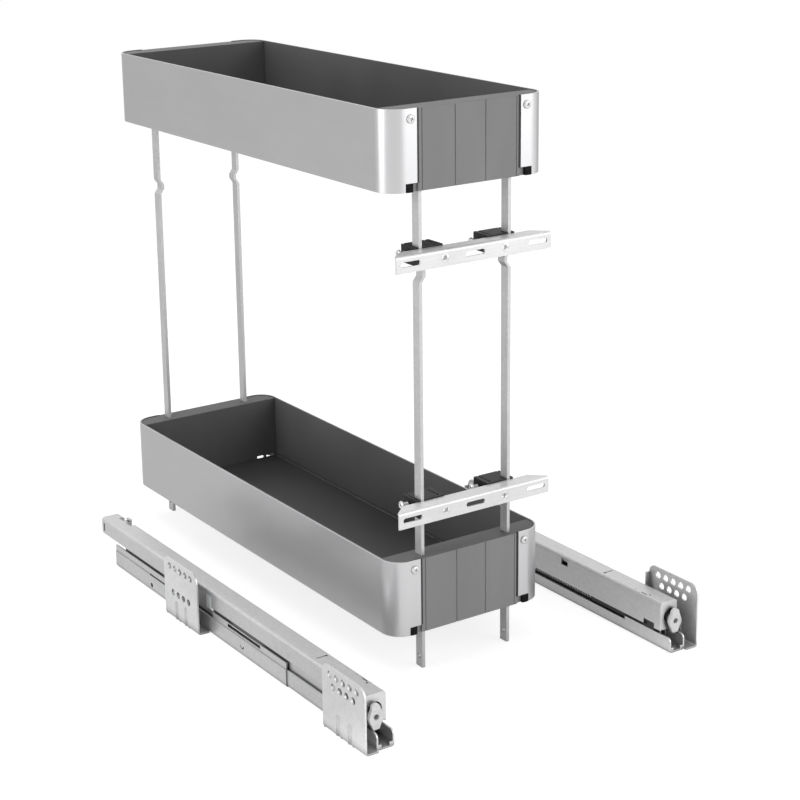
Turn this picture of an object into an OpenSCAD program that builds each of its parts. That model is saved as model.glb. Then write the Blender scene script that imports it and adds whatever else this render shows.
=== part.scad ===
// Pull-out cabinet basket: two narrow trays on four flat bars, and the pair of
// concealed runners that carry it, standing beside it as the kit is delivered.
// Millimetres, +Z up, the trays' fronts face -Y, the floor is z = 0.

/* [Trays] */
// Length of each tray, front face to rear face
tray_l = 470; // [400:5:520]
// Width of each tray over its side panels
tray_w = 157; // [150:1:200]
// Height of each tray
tray_h = 66; // [50:1:100]
// Height from the rim of the lower tray to the rim of the upper tray
tray_pitch = 375; // [340:5:450]
// Outer radius of the rolled corners
corner_r = 18; // [12:0.5:20]
// Thickness of the aluminium side panels
panel_t = 1.2; // [1:0.1:1.6]
// Length of the flange that a panel turns onto an end block
flange_l = 27.5; // [26:0.5:28]
// Width of the lip under the tray floor
lip_w = 8; // [5:0.5:12]
// Thickness of the dark liner inside a panel
liner_t = 1; // [0.8:0.1:1.4]
// How far the liner shows past the free edge of a flange
liner_peek = 0.8; // [0.4:0.1:1.2]
// Thickness of the tray floor
floor_t = 1.5; // [1:0.1:3]
// Height of the rim that is turned up along the sides of the floor
floor_rim_h = 1; // [0.5:0.1:2]
// Length of one drain gap at the foot of an end block
drain_l = 9; // [6:0.5:10]
// Height of one drain gap above the floor
drain_h = 2.2; // [1.5:0.1:3]
// Width of the notch at the foot of a flange
notch_w = 11; // [8:0.5:12]
// Height of the notch at the foot of a flange
notch_h = 7; // [5:0.5:10]
// Width of the black clip in the notch
clip_w = 6.5; // [4:0.5:7.5]

/* [End blocks] */
// Depth of an end block
block_d = 21; // [19:0.5:26]
// Wall left round the hollows under an end block
block_wall = 3; // [2:0.5:4]
// How far the top of a block lies below the rim
block_drop = 0.5; // [0:0.1:1]
// Width of a groove in the face of a block
groove_w = 0.9; // [0.6:0.1:1.5]
// Depth of a groove in the face of a block
groove_d = 0.5; // [0.3:0.1:0.8]

/* [Bars] */
// Width of a flat bar, front to rear
bar_w = 9; // [7:0.5:11]
// Thickness of a flat bar
bar_t = 3; // [2:0.5:4]
// Distance from the centre plane to the outer face of a bar
bar_x = 46; // [40:0.5:47]
// Distance from a tray's end to the middle of a bar
bar_inset = 10.7; // [10:0.1:12]
// Height of the lower tray above the floor, on the bars' feet
foot_h = 36; // [25:1:60]
// Diameter of the hole in each foot
foot_hole_d = 4.2; // [3:0.1:5]
// Height of the hole in each foot
foot_hole_z = 9.5; // [6:0.5:15]
// How far a bar's joggle steps towards the centre plane
joggle_d = 3.5; // [2:0.5:5]
// Height of a bar's joggle
joggle_h = 14; // [10:1:18]
// Depth of a bar's end below the top of the upper block
bar_cap = 6; // [3:0.5:12]

/* [Door brackets] */
// Length of a door bracket
bracket_l = 154; // [140:1:156]
// Height of a door bracket
bracket_h = 14; // [12:0.5:18]
// Thickness of the bracket's steel
bracket_t = 1.5; // [1:0.1:2]
// Depth of the bracket's top flange
bracket_d = 13.5; // [13:0.1:13.6]
// How far each end of the top flange slants in
bracket_slant = 12.5; // [6:0.5:16]
// Distance of the bracket's face ahead of the tray
bracket_stand = 7.5; // [7.4:0.1:8]
// Gap from the lower tray's rim to the lower bracket
lower_bracket_gap = 33.5; // [25:0.5:60]
// Gap from the upper bracket to the underside of the upper tray
upper_bracket_gap = 48; // [30:0.5:60]
// Length of an adjusting slot
slot_l = 19; // [14:0.5:24]
// Width of an adjusting slot
slot_w = 4.2; // [3:0.1:5]
// Distance of the outer slots from the middle slot
slot_pitch = 63.5; // [55:0.5:64]
// Distance of a bracket screw from the centre plane
bracket_screw_x = 30; // [28:0.5:36]
// Diameter of a bracket screw's countersunk head
sunk_head_d = 8; // [6.5:0.1:8.5]

/* [Clamps] */
// Width of a clamp
clamp_w = 27; // [24:0.5:30]
// Width of a clamp outside its bar
clamp_ear = 3.5; // [2.5:0.5:5]
// Reach of a clamp behind its bar
clamp_tail = 10.8; // [9:0.1:14]
// Height of a clamp above the bracket's flange
clamp_rise = 1.2; // [0.5:0.1:3]
// How far the clamp screw's head stands off the clamp
clamp_screw_stand = 5.5; // [3:0.5:7]

/* [Screws] */
// Shank diameter of the small screws
screw_d = 3.8; // [3:0.1:4]
// Head diameter of the small screws
screw_head_d = 7.2; // [6:0.1:8]
// Head height of the small screws
screw_head_h = 2; // [1.5:0.1:2.5]
// Length of the small screws under the head
screw_l = 12; // [10:0.5:13]
// Distance of a panel screw from the flange's free edge
screw_edge = 6; // [4.5:0.1:7]
// Depth of a panel screw below the rim
screw_drop = 8.2; // [6:0.1:12]

/* [Runners] */
// Distance from the tray's side to the runner beside it
runner_gap = 63; // [50:1:100]
// Width of the drawer rail
rail_w = 18.5; // [18.5:0.1:22]
// Height of the runner, floor to the top of the drawer rail
rail_h = 42; // [41:0.5:46]
// Thickness of the rails' steel
rail_t = 1.5; // [1.4:0.1:1.6]
// Outer radius of the rails' bends
rail_r = 2.6; // [2:0.1:3]
// Length of the cabinet rail
cabinet_l = 449; // [430:1:460]
// Distance of the cabinet rail's front ahead of the tray
cabinet_lead = 92.5; // [80:0.5:110]
// Length of the drawer rail with its front housing
drawer_l = 463.5; // [440:0.5:475]
// Setback of the drawer rail's front behind the cabinet rail's front
drawer_setback = 12; // [10:0.5:14]
// Length of the front housing
housing_l = 58.5; // [50:0.5:62]
// Length of the middle rail
middle_l = 413; // [390:1:425]
// Travel of the drawer rail
travel = 440; // [300:5:440]
// Height of the cabinet rail's inner wall
cabinet_in_h = 10.5; // [8:0.5:11]
// Height of the cabinet rail's outer wall
cabinet_out_h = 16; // [14:0.5:17]
// Lowest point of the drawer rail's inner wall
drawer_in_z = 16.7; // [16.5:0.1:18]
// Lowest point of the drawer rail's outer wall
drawer_out_z = 26.5; // [25:0.5:30]

/* [Runner brackets] */
// Distance from the drawer rail's inner face to the bracket's outer face
plate_u = 29.3; // [27:0.1:34]
// Thickness of the bracket's steel
plate_t = 1.5; // [1.2:0.1:2]
// Width of a bracket, front to rear
plate_w = 61; // [58:0.5:70]
// Height of a bracket
plate_h = 56.5; // [54:0.5:64]
// Radius of the bracket's upper front corner
plate_r = 9; // [5:0.5:12]
// How far the front bracket stands ahead of the cabinet rail
plate_nose = 3; // [1:0.5:5]
// Distance of the rear bracket's front edge behind the tray's front
rear_plate_y = 171.5; // [150:0.5:220]
// Diameter of the brackets' holes
plate_hole_d = 6.2; // [5:0.1:7]
// Pitch of the brackets' holes
plate_hole_pitch = 9.5; // [8.5:0.1:10]
// Height of the upper row of holes in both brackets
hole_row_z = 49.5; // [48:0.5:50]
// Height of the front bracket's lower row of holes
front_row_z = 40.5; // [38:0.5:41]
// Height of the rear bracket's lower row of holes
rear_row_z = 25.5; // [25:0.5:34]

/* [Closing spring] */
// Wire of the closing spring
wire_d = 0.9; // [0.7:0.05:1]
// Mean radius of the spring's coil
coil_r = 1.85; // [1.6:0.05:1.9]
// Curls of the spring
coils = 30; // [20:1:36]
// Length of the spring between its seats
spring_l = 109; // [100:1:120]

/* [Hidden] */
$fn = 48;

// Overrun of every cut
cut = 1;
// Clearance between pieces that are fitted together by hand
fit = 0.2;
// Radial clearance of a screw or shaft in its hole
bore_fit = 0.06;
// Clearance of a roller on its tracks
roller_fit = 0.15;
// Clearance between pieces that slide past each other
slide_gap = 0.3;

LEFT = -1;
RIGHT = 1;

tray_x = tray_w / 2;
skin_t = panel_t + liner_t;
flange_x = tray_x - flange_l;
lower_z = foot_h;
upper_z = foot_h + tray_pitch;
lower_bracket_z = lower_z + tray_h + lower_bracket_gap;
upper_bracket_z = upper_z - upper_bracket_gap - bracket_h;
bar_top = upper_z + tray_h - block_drop - bar_cap;
runner_x = tray_x + runner_gap;
cabinet_y = -cabinet_lead;
drawer_y = cabinet_y + drawer_setback;
seam_y = drawer_y + housing_l;
drawer_rear_y = drawer_y + drawer_l;
cabinet_rear_y = cabinet_y + cabinet_l;
front_plate_y = cabinet_y - plate_nose;

// Clamps: sides measured from the centre plane, and the cross screw's place
clamp_x1 = bar_x + clamp_ear;
clamp_x0 = clamp_x1 - clamp_w;
clamp_y0 = bracket_t - bracket_stand;
clamp_y1 = bar_inset + bar_w / 2 + clamp_tail;
clamp_screw_y = bar_inset + bar_w / 2 + clamp_tail / 2;
clamp_screw_z = bracket_h * 0.6;
sunk_head_h = bracket_t * 0.85;

// Height inside a block at which the upper trays' bar slots end
blind_top = tray_h - block_drop - bar_cap + fit;

// Cabinet rail: its two walls, the step in the front stretch and the guide strips
cabinet_u0 = rail_t / 3;
cabinet_u1 = rail_w - rail_t / 3;
nose_step = rail_t * 2 / 3;
nose_u1 = cabinet_u1 - nose_step;
nose_end_y = cabinet_y + cabinet_l * 0.3;
nose_in_h = drawer_in_z - 2 * rail_t;
nose_out_h = cabinet_out_h - rail_t * 1.3;
strip_h = rail_t * 4;
strip_top = cabinet_out_h + strip_h;
relief_y = rear_plate_y - rail_t * 4;
tail_y0 = rear_plate_y + plate_w;
tail_l = cabinet_rear_y - tail_y0;
nose_r = 4;
lance_r = 3.2;

// Tab that rivets a bracket to the cabinet rail
tab_w = plate_w / 3;
tab_h = 11;
rivet_z = 7.5;
rivet_d = 4;
rivet_head_d = 7;
rivet_head_h = 1.2;
rivet_dy = tab_w / 4;

// Radius of a gusset's groove
gusset_r = 3.5;

// Rollers and the heights of their tracks
rollers_per_group = 4;
lower_roller_d = 3.2;
upper_roller_d = 5.7;
roller_l = 8.4;
roller_u = 5.6;
lower_pitch = 2 * lower_roller_d;
upper_pitch = 1.6 * upper_roller_d;
middle_z0 = rail_t + lower_roller_d + 2 * roller_fit;
middle_z1 = rail_h - rail_t - upper_roller_d - 2 * roller_fit;
lower_track_z = rail_t + roller_fit + lower_roller_d / 2;
upper_track_z = middle_z1 + roller_fit + upper_roller_d / 2;

// Front housing and the shaft bearing behind its face
bearing_d = 5;
housing_out_z = 22;

// Middle rail: its foot, its two walls and its ends
middle_foot_gap = 1.4;
middle_foot_w = 3.8;
middle_foot_u = cabinet_u0 + rail_t + middle_foot_gap;
middle_u0 = middle_foot_u + middle_foot_w;
middle_u1 = nose_u1 - rail_t - 2 * slide_gap;
middle_y0 = drawer_y + 2 * rail_t + bearing_d;
middle_rear_y = middle_y0 + middle_l;

// Cages: each stays between its two rails over the whole travel
cage_margin = 2 * rail_t;
lower_cage_y0 = cabinet_y + travel / 4 + cage_margin;
lower_cage_y1 = middle_rear_y - travel / 4 - cage_margin;
upper_cage_y0 = middle_y0 + travel / 4 + cage_margin;
upper_cage_y1 = drawer_rear_y - travel / 4 - cage_margin;

// Locking cam: its axis, its lever and its seat in the housing's face
cam_u = 12.5;
cam_z = 25;
cam_shaft_d = 6;
cam_boss_d = 10;
cam_t = 2.8;
cam_gap = 2.7;
cam_head_r = 4;
cam_w = 13.6;
cam_up = 11;
cam_down = 10.6;
hex_d = 5.2;
recess_d = 13.4;
recess_u = 10.5;
recess_z = 28.5;

// Window and hook of the drawer rail
window_y = nose_end_y + rail_t;
window_l = 9;
window_h = 6.5;
hook_l = 7;
hook_h = 2.4;

// Release catch, in its window in the housing's inner wall
catch_l = 13;
catch_setback = 8;
catch_y = drawer_y + catch_setback;
catch_bottom = 14.2;
catch_top = 21;

// Closing carriage and spring, under the drawer rail's inner wall
carriage_l = 70;
carriage_z = 11.5;
spring_u = 4.6;
spring_z = carriage_z + coil_r + wire_d / 2;
spring_y0 = catch_y + catch_l + rail_t + carriage_l;
spring_y1 = spring_y0 + spring_l;
rings_per_coil = 8;
tube_sides = 6;
spring_rise = spring_l - 2 * wire_d;
coil_steps = coils * rings_per_coil;

// Damper, above the spring and beside the middle rail
damper_d = 4.8;
rod_d = 2;
damper_z = 27;
damper_stroke = 35;

// The whole kit is centred on the origin, front to rear
y_centre = (tray_l + screw_head_h - cabinet_lead - plate_nose) / 2;

// Colours of the finishes
ALUMINIUM = [0.72, 0.73, 0.74];
BLOCK_GREY = [0.47, 0.47, 0.48];
LINER_GREY = [0.2, 0.2, 0.21];
ZINC = [0.82, 0.82, 0.83];
BRIGHT_ZINC = [0.93, 0.93, 0.94];
STEEL = [0.7, 0.7, 0.71];
BLACK = [0.06, 0.06, 0.06];
CLEAR_PLASTIC = [0.85, 0.86, 0.84];

module at_frame() {
  translate([0, -y_centre, 0]) children();
}

// Draws its children on the right, or mirrored on the left
module on_side(side) {
  if (side == LEFT) mirror([1, 0, 0]) children();
  else children();
}

// Draws its children at the front of a tray, or mirrored at its rear
module at_end(rear) {
  if (rear) translate([0, tray_l, 0]) mirror([0, 1, 0]) children();
  else children();
}

// Plan of a tray with its sides drawn in by inset
module tray_plan(inset) {
  w = tray_w - 2 * inset;
  r = corner_r - inset;
  translate([-w / 2 + r, inset]) square([w - 2 * r, tray_l - 2 * inset]);
  translate([-w / 2, inset + r]) square([w, tray_l - 2 * (inset + r)]);
  for (x = [-1, 1], y = [inset + r, tray_l - inset - r])
    translate([x * (w / 2 - r), y]) circle(r);
}

// Plan of a skin that wraps one side of a tray and both its corners
module wrap_plan(outside, inside, edge_x) {
  intersection() {
    difference() {
      tray_plan(outside);
      tray_plan(inside);
    }
    translate([edge_x, 0]) square([tray_x - edge_x + cut, tray_l]);
  }
}

// Notches at the feet of the two flanges, and the panel screws' holes
module flange_cuts(hole_d, depth) {
  for (rear = [false, true]) at_end(rear) {
    translate([flange_x - liner_peek - cut, -cut, -cut])
      cube([notch_w + liner_peek + cut, depth + cut, notch_h + cut]);
    translate([flange_x + screw_edge, -cut, tray_h - screw_drop])
      rotate([-90, 0, 0]) cylinder(h = depth + 2 * cut, d = hole_d);
  }
}

module panel() {
  color(ALUMINIUM) {
    difference() {
      linear_extrude(tray_h) wrap_plan(0, panel_t, flange_x);
      flange_cuts(screw_d + 2 * fit, panel_t + liner_t / 2);
    }
    translate([tray_x - panel_t - lip_w, block_d + fit, 0])
      cube([lip_w + panel_t / 2, tray_l - 2 * (block_d + fit), panel_t]);
  }
}

module liner() {
  color(LINER_GREY) difference() {
    translate([0, 0, panel_t])
      linear_extrude(tray_h - panel_t) wrap_plan(panel_t, skin_t, flange_x - liner_peek);
    flange_cuts(screw_d + 2 * fit, skin_t + liner_t);
  }
}

// A tray's floor, with a rim turned up along both sides
module floor_plate() {
  x = tray_x - skin_t - fit;
  l = tray_l - 2 * (block_d + fit);
  rim_t = floor_t * 0.8;
  color(LINER_GREY) translate([0, block_d + fit, panel_t]) {
    translate([-x, 0, 0]) cube([2 * x, l, floor_t]);
    for (side = [LEFT, RIGHT]) on_side(side)
      translate([x - rim_t, 0, 0]) cube([rim_t, l, floor_t + floor_rim_h]);
  }
}

// Plan of the hollow in a block's corner, beyond the bar
module corner_hollow() {
  x0 = bar_x + fit + block_wall;
  intersection() {
    tray_plan(skin_t + block_wall);
    translate([x0, 0]) square([tray_x - x0, block_d - block_wall]);
  }
}

// An end block, with slots for its two bars; the slots are blind above slot_top
module block(slot_top) {
  h = tray_h - block_drop;
  pad_x = flange_x - liner_peek - fit;
  pad_y = panel_t / 2;
  hollow_x = bar_x - bar_t - fit - block_wall;
  hollow_w = (2 * hollow_x - 2 * block_wall) / 3;
  hollow_d = block_d - skin_t - 2 * block_wall;
  corner_h = tray_h - screw_drop - screw_d / 2 - block_wall;
  drain_x1 = tray_x - skin_t - block_wall;
  drain_pitch = drain_l * 1.25;
  // Places of the grooves, as shares of the pad's half width
  groove_shares = [-0.92, -0.28, 0.32, 0.94];
  color(BLOCK_GREY) difference() {
    linear_extrude(h) {
      intersection() {
        tray_plan(skin_t);
        translate([-tray_x, 0]) square([tray_w, block_d]);
      }
      translate([-pad_x, pad_y]) square([2 * pad_x, block_d - pad_y]);
    }
    for (s = groove_shares)
      translate([s * pad_x - groove_w / 2, pad_y - cut, -cut])
        cube([groove_w, cut + groove_d, h + 2 * cut]);
    for (side = [LEFT, RIGHT]) on_side(side) {
      translate([bar_x - bar_t - fit, bar_inset - bar_w / 2 - fit, -cut])
        cube([bar_t + 2 * fit, bar_w + 2 * fit, slot_top + cut]);
      translate([flange_x + screw_edge, 0, tray_h - screw_drop])
        rotate([-90, 0, 0]) cylinder(h = screw_l + cut, d = screw_d + 2 * bore_fit);
      translate([0, 0, -cut]) linear_extrude(corner_h + cut) corner_hollow();
      // Drain gaps through the foot of the inner wall
      for (i = [0, 1])
        translate([drain_x1 - drain_l - i * drain_pitch, block_d - block_wall - cut, -cut])
          cube([drain_l, block_wall + 2 * cut, panel_t + floor_t + drain_h + cut]);
    }
    for (i = [0:2])
      translate([-hollow_x + i * (hollow_w + block_wall), skin_t + block_wall, -cut])
        cube([hollow_w, hollow_d, h - block_wall + cut]);
  }
}

// The cross recess in a screw's head whose top is at y = 0
module cross_recess(head_d, depth) {
  w = head_d / 7;
  l = head_d / 1.9;
  for (a = [0, 90]) rotate([0, a, 0])
    translate([-l / 2, -cut, -w / 2]) cube([l, cut + depth, w]);
}

// A pan-head screw, its head to -Y and its seat at y = 0
module screw(length, shank_d, head_d, head_h) {
  rim_h = head_h / 3;
  difference() {
    union() {
      rotate([90, 0, 0]) cylinder(h = rim_h, d = head_d);
      translate([0, -rim_h, 0]) rotate([90, 0, 0])
        intersection() {
          cylinder(h = head_h - rim_h, d = head_d);
          translate([0, 0, head_h - rim_h - head_d]) sphere(d = 2 * head_d);
        }
      translate([0, -rim_h / 2, 0]) rotate([-90, 0, 0]) cylinder(h = length + rim_h / 2, d = shank_d);
    }
    translate([0, -head_h, 0]) cross_recess(head_d, head_h / 2);
  }
}

// A countersunk screw, the flat of its head to -Y and at y = 0
module flat_screw(length, shank_d, head_d, head_h) {
  difference() {
    rotate([-90, 0, 0]) {
      cylinder(h = head_h, d1 = head_d, d2 = shank_d);
      cylinder(h = length, d = shank_d);
    }
    cross_recess(head_d, head_h * 0.8);
  }
}

module panel_screws() {
  color(BRIGHT_ZINC)
    for (z = [lower_z, upper_z], rear = [false, true], side = [LEFT, RIGHT])
      at_end(rear) on_side(side)
        translate([flange_x + screw_edge, 0, z + tray_h - screw_drop])
          screw(screw_l, screw_d, screw_head_d, screw_head_h);
}

module corner_clips() {
  proud = panel_t / 3;
  color(BLACK)
    for (z = [lower_z, upper_z], rear = [false, true], side = [LEFT, RIGHT])
      at_end(rear) on_side(side)
        translate([flange_x + notch_w - fit - clip_w, -proud, z]) {
          cube([clip_w, skin_t + proud, notch_h - fit]);
          translate([clip_w / 4, -proud, 0]) cube([clip_w / 2, 2 * proud, notch_h / 2]);
        }
}

// A flat bar, standing from the floor into the upper block
module bar(rear) {
  joggle_z = upper_bracket_z - fit - joggle_h / 2;
  ramp = joggle_h / 3;
  // Heights along the bar and the step towards the centre plane at each
  path = [[0, 0], [joggle_z - joggle_h / 2, 0], [joggle_z - joggle_h / 2 + ramp, joggle_d],
          [joggle_z + joggle_h / 2 - ramp, joggle_d], [joggle_z + joggle_h / 2, 0], [bar_top, 0]];
  outer = [for (p = path) [bar_x - p[1], p[0]]];
  inner = [for (i = [len(path) - 1:-1:0]) [bar_x - bar_t - path[i][1], path[i][0]]];
  color(ZINC) at_end(rear) difference() {
    translate([0, bar_inset + bar_w / 2, 0]) rotate([90, 0, 0])
      linear_extrude(bar_w) polygon(concat(outer, inner));
    translate([bar_x - bar_t - cut, bar_inset, foot_hole_z])
      rotate([0, 90, 0]) cylinder(h = bar_t + 2 * cut, d = foot_hole_d);
  }
}

// A quarter bend of sheet whose outer corner is at the origin
module bend_2d(t, r) {
  intersection() {
    square(r);
    translate([r, r]) difference() {
      circle(r);
      circle(r - t);
    }
  }
}

// A slot along X, cut through along Y
module slot_cut(length, width, depth) {
  translate([-(length - width) / 2, 0, -width / 2]) cube([length - width, depth, width]);
  for (x = [-1, 1]) translate([x * (length - width) / 2, 0, 0])
    rotate([-90, 0, 0]) cylinder(h = depth, d = width);
}

// An angle with a rounded bend, its legs along +X and +Y and its corner at the origin
module angle_profile(leg_x, leg_y, t, r) {
  translate([r, 0]) square([leg_x - r, t]);
  translate([0, r]) square([t, leg_y - r]);
  bend_2d(t, r);
}

module door_bracket(z) {
  face_y = -bracket_stand;
  bend_r = bracket_t + bracket_t / 2;
  screw_hole_z = bracket_h / 2;
  color(BRIGHT_ZINC) translate([0, face_y, z]) difference() {
    translate([-bracket_l / 2, 0, bracket_h]) rotate([0, 90, 0])
      linear_extrude(bracket_l) angle_profile(bracket_h, bracket_d, bracket_t, bend_r);
    for (side = [LEFT, RIGHT]) on_side(side) {
      translate([bracket_l / 2, bend_r, bracket_h - bracket_t - cut])
        linear_extrude(bracket_t + 2 * cut)
          polygon([[0, 0], [cut, 0], [cut, bracket_d], [-bracket_slant, bracket_d],
                   [-bracket_slant, bracket_d - bend_r]]);
      translate([bracket_screw_x, 0, screw_hole_z]) rotate([-90, 0, 0]) {
        translate([0, 0, -cut]) cylinder(h = cut, d = sunk_head_d + 2 * bore_fit);
        cylinder(h = sunk_head_h, d1 = sunk_head_d + 2 * bore_fit, d2 = screw_d + 2 * bore_fit);
        cylinder(h = bracket_t + cut, d = screw_d + 2 * bore_fit);
      }
    }
    for (i = [-1:1]) translate([i * slot_pitch, -cut, screw_hole_z])
      slot_cut(slot_l, slot_w, bracket_t + 2 * cut);
  }
}

// A clamp between a door bracket and one bar
module clamp(side, z) {
  flange_y = bracket_d - bracket_stand + fit;
  top = bracket_h + clamp_rise;
  under = bracket_h - bracket_t - fit;
  foot = fit;
  groove = bar_t / 2;
  grooves_x = [clamp_x1 - clamp_ear / 2 - groove / 2, clamp_x0 + clamp_ear];
  color(BLACK) translate([0, 0, z]) difference() {
    on_side(side) difference() {
      translate([clamp_x0, 0, 0]) rotate([90, 0, 90]) linear_extrude(clamp_w)
        polygon([[clamp_y0, foot], [clamp_y1, foot], [clamp_y1, top],
                 [flange_y, top], [flange_y, under], [clamp_y0, under]]);
      translate([bar_x - bar_t - fit, bar_inset - bar_w / 2 - fit, -cut])
        cube([bar_t + 2 * fit, bar_w + 2 * fit, top + 2 * cut]);
      for (x = grooves_x)
        translate([x, flange_y + groove, top - 2 * groove])
          cube([groove, clamp_y1, 2 * groove + cut]);
      translate([bracket_screw_x, clamp_y0 - cut, bracket_h / 2]) rotate([-90, 0, 0])
        cylinder(h = screw_l + cut, d = screw_d + 2 * bore_fit);
    }
    translate([clamp_left(side) - cut, clamp_screw_y, clamp_screw_z]) rotate([0, 90, 0])
      cylinder(h = clamp_w + 2 * cut, d = screw_d + 2 * bore_fit);
  }
}

// Left-hand side of a clamp, where its screw goes in
function clamp_left(side) = side == LEFT ? -clamp_x1 : clamp_x0;

module bracket_screws() {
  color(BRIGHT_ZINC)
    for (z = [lower_bracket_z, upper_bracket_z], x = [-bracket_screw_x, bracket_screw_x])
      translate([x, -bracket_stand, z + bracket_h / 2])
        flat_screw(screw_l, screw_d, sunk_head_d, sunk_head_h);
}

module clamp_screws() {
  color(BRIGHT_ZINC)
    for (z = [lower_bracket_z, upper_bracket_z], side = [LEFT, RIGHT])
      translate([clamp_left(side) - clamp_screw_stand, clamp_screw_y, z + clamp_screw_z])
        rotate([0, 0, -90])
          screw(clamp_w + clamp_screw_stand - clamp_ear, screw_d, screw_head_d, screw_head_h);
}

// Runner pieces are drawn in the right runner's own frame: u runs outward from
// the drawer rail's inner face, y and z are the kit's.

module runner(side) {
  on_side(side) translate([runner_x, 0, 0]) children();
}

// Runs a (u, z) profile along Y
module run(y0, y1) {
  translate([0, y1, 0]) rotate([90, 0, 0]) linear_extrude(y1 - y0) children();
}

// A bent channel, open upwards, its outer bottom corner at the origin
module channel_profile(w, left_h, right_h) {
  translate([rail_r, 0]) square([w - 2 * rail_r, rail_t]);
  translate([0, rail_r]) square([rail_t, left_h - rail_r]);
  translate([w - rail_t, rail_r]) square([rail_t, right_h - rail_r]);
  bend_2d(rail_t, rail_r);
  translate([w, 0]) mirror([1, 0]) bend_2d(rail_t, rail_r);
}

module cabinet_rail() {
  w = cabinet_u1 - cabinet_u0;
  strip_u = cabinet_u1 - rail_t - nose_step * 0.6;
  in_step_y = front_plate_y + plate_w;
  out_step_y = cabinet_y + plate_w / 4;
  cover_l = relief_y - nose_end_y;
  lance_y = nose_end_y + cover_l * 0.58;
  hole_y = tail_y0 + tail_l * 0.4;
  nub = rail_t;
  color(STEEL) difference() {
    union() {
      // Front stretch, with its outer wall stepped in and its inner wall raised
      run(cabinet_y, nose_end_y) translate([cabinet_u0, 0])
        channel_profile(w - nose_step, cabinet_in_h, nose_out_h);
      run(cabinet_y, in_step_y) translate([cabinet_u0, rail_r])
        square([rail_t, nose_in_h - rail_r]);
      run(out_step_y, nose_end_y) translate([nose_u1 - rail_t, rail_r])
        square([rail_t, cabinet_out_h - rail_r]);
      // Rear stretch
      run(nose_end_y - rail_t, cabinet_rear_y) translate([cabinet_u0, 0])
        channel_profile(w, cabinet_in_h, cabinet_out_h);
      // Guide strips above the outer wall
      for (span = [[nose_end_y - rail_t, relief_y], [tail_y0, cabinet_rear_y]])
        run(span[0], span[1]) translate([strip_u, cabinet_out_h - rail_t])
          square([rail_t, strip_h + rail_t]);
      // Stops bent up at the front corners
      for (u = [cabinet_u0 + rail_t, nose_u1 - rail_t - 2 * nub])
        translate([u, cabinet_y, rail_t / 2]) cube([2 * nub, nub, rail_t / 2 + 2 * nub]);
    }
    // Rounded upper corners of both walls at the front
    translate([cabinet_u0 - cut, cabinet_y, nose_in_h])
      corner_cut(nose_r, rail_t + 2 * cut);
    translate([nose_u1 - rail_t - cut, cabinet_y, nose_out_h])
      corner_cut(nose_r, rail_t + 2 * cut);
    // Long slot in the front guide strip
    translate([strip_u - cut, nose_end_y + cover_l / 3, cabinet_out_h + strip_h / 3])
      cube([rail_t + 2 * cut, cover_l * 0.45, strip_h / 2]);
    // Thin slot under the rear guide strip
    translate([strip_u - cut, tail_y0 + tail_l * 0.06, cabinet_out_h - rail_t / 4])
      cube([2 * rail_t + 2 * cut, tail_l * 0.37, rail_t * 0.7]);
    // Lanced half moon and fixing hole in the outer wall
    translate([cabinet_u1 - rail_t - cut, lance_y, cabinet_out_h * 0.6]) rotate([0, 90, 0])
      half_ring(lance_r, lance_r * 0.7, rail_t + 2 * cut);
    translate([cabinet_u1 - rail_t - cut, hole_y, cabinet_out_h * 0.4])
      rotate([0, 90, 0]) cylinder(h = rail_t + 2 * cut, r = lance_r * 0.7);
    // Rivet holes for the two brackets
    for (y = [front_plate_y, rear_plate_y], i = [-1, 1])
      translate([nose_u1 - rail_t - cut, y + plate_w / 2 + i * rivet_dy, rivet_z])
        rotate([0, 90, 0])
          cylinder(h = rail_t + nose_step + 2 * cut, d = rivet_d + 2 * bore_fit);
  }
}

// Half of a ring, on the +X side of its axis
module half_ring(r_out, r_in, h) {
  difference() {
    cylinder(h = h, r = r_out);
    translate([0, 0, -cut]) cylinder(h = h + 2 * cut, r = r_in);
    translate([-r_out - cut, -r_out - cut, -cut])
      cube([r_out + cut, 2 * (r_out + cut), h + 2 * cut]);
  }
}

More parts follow.
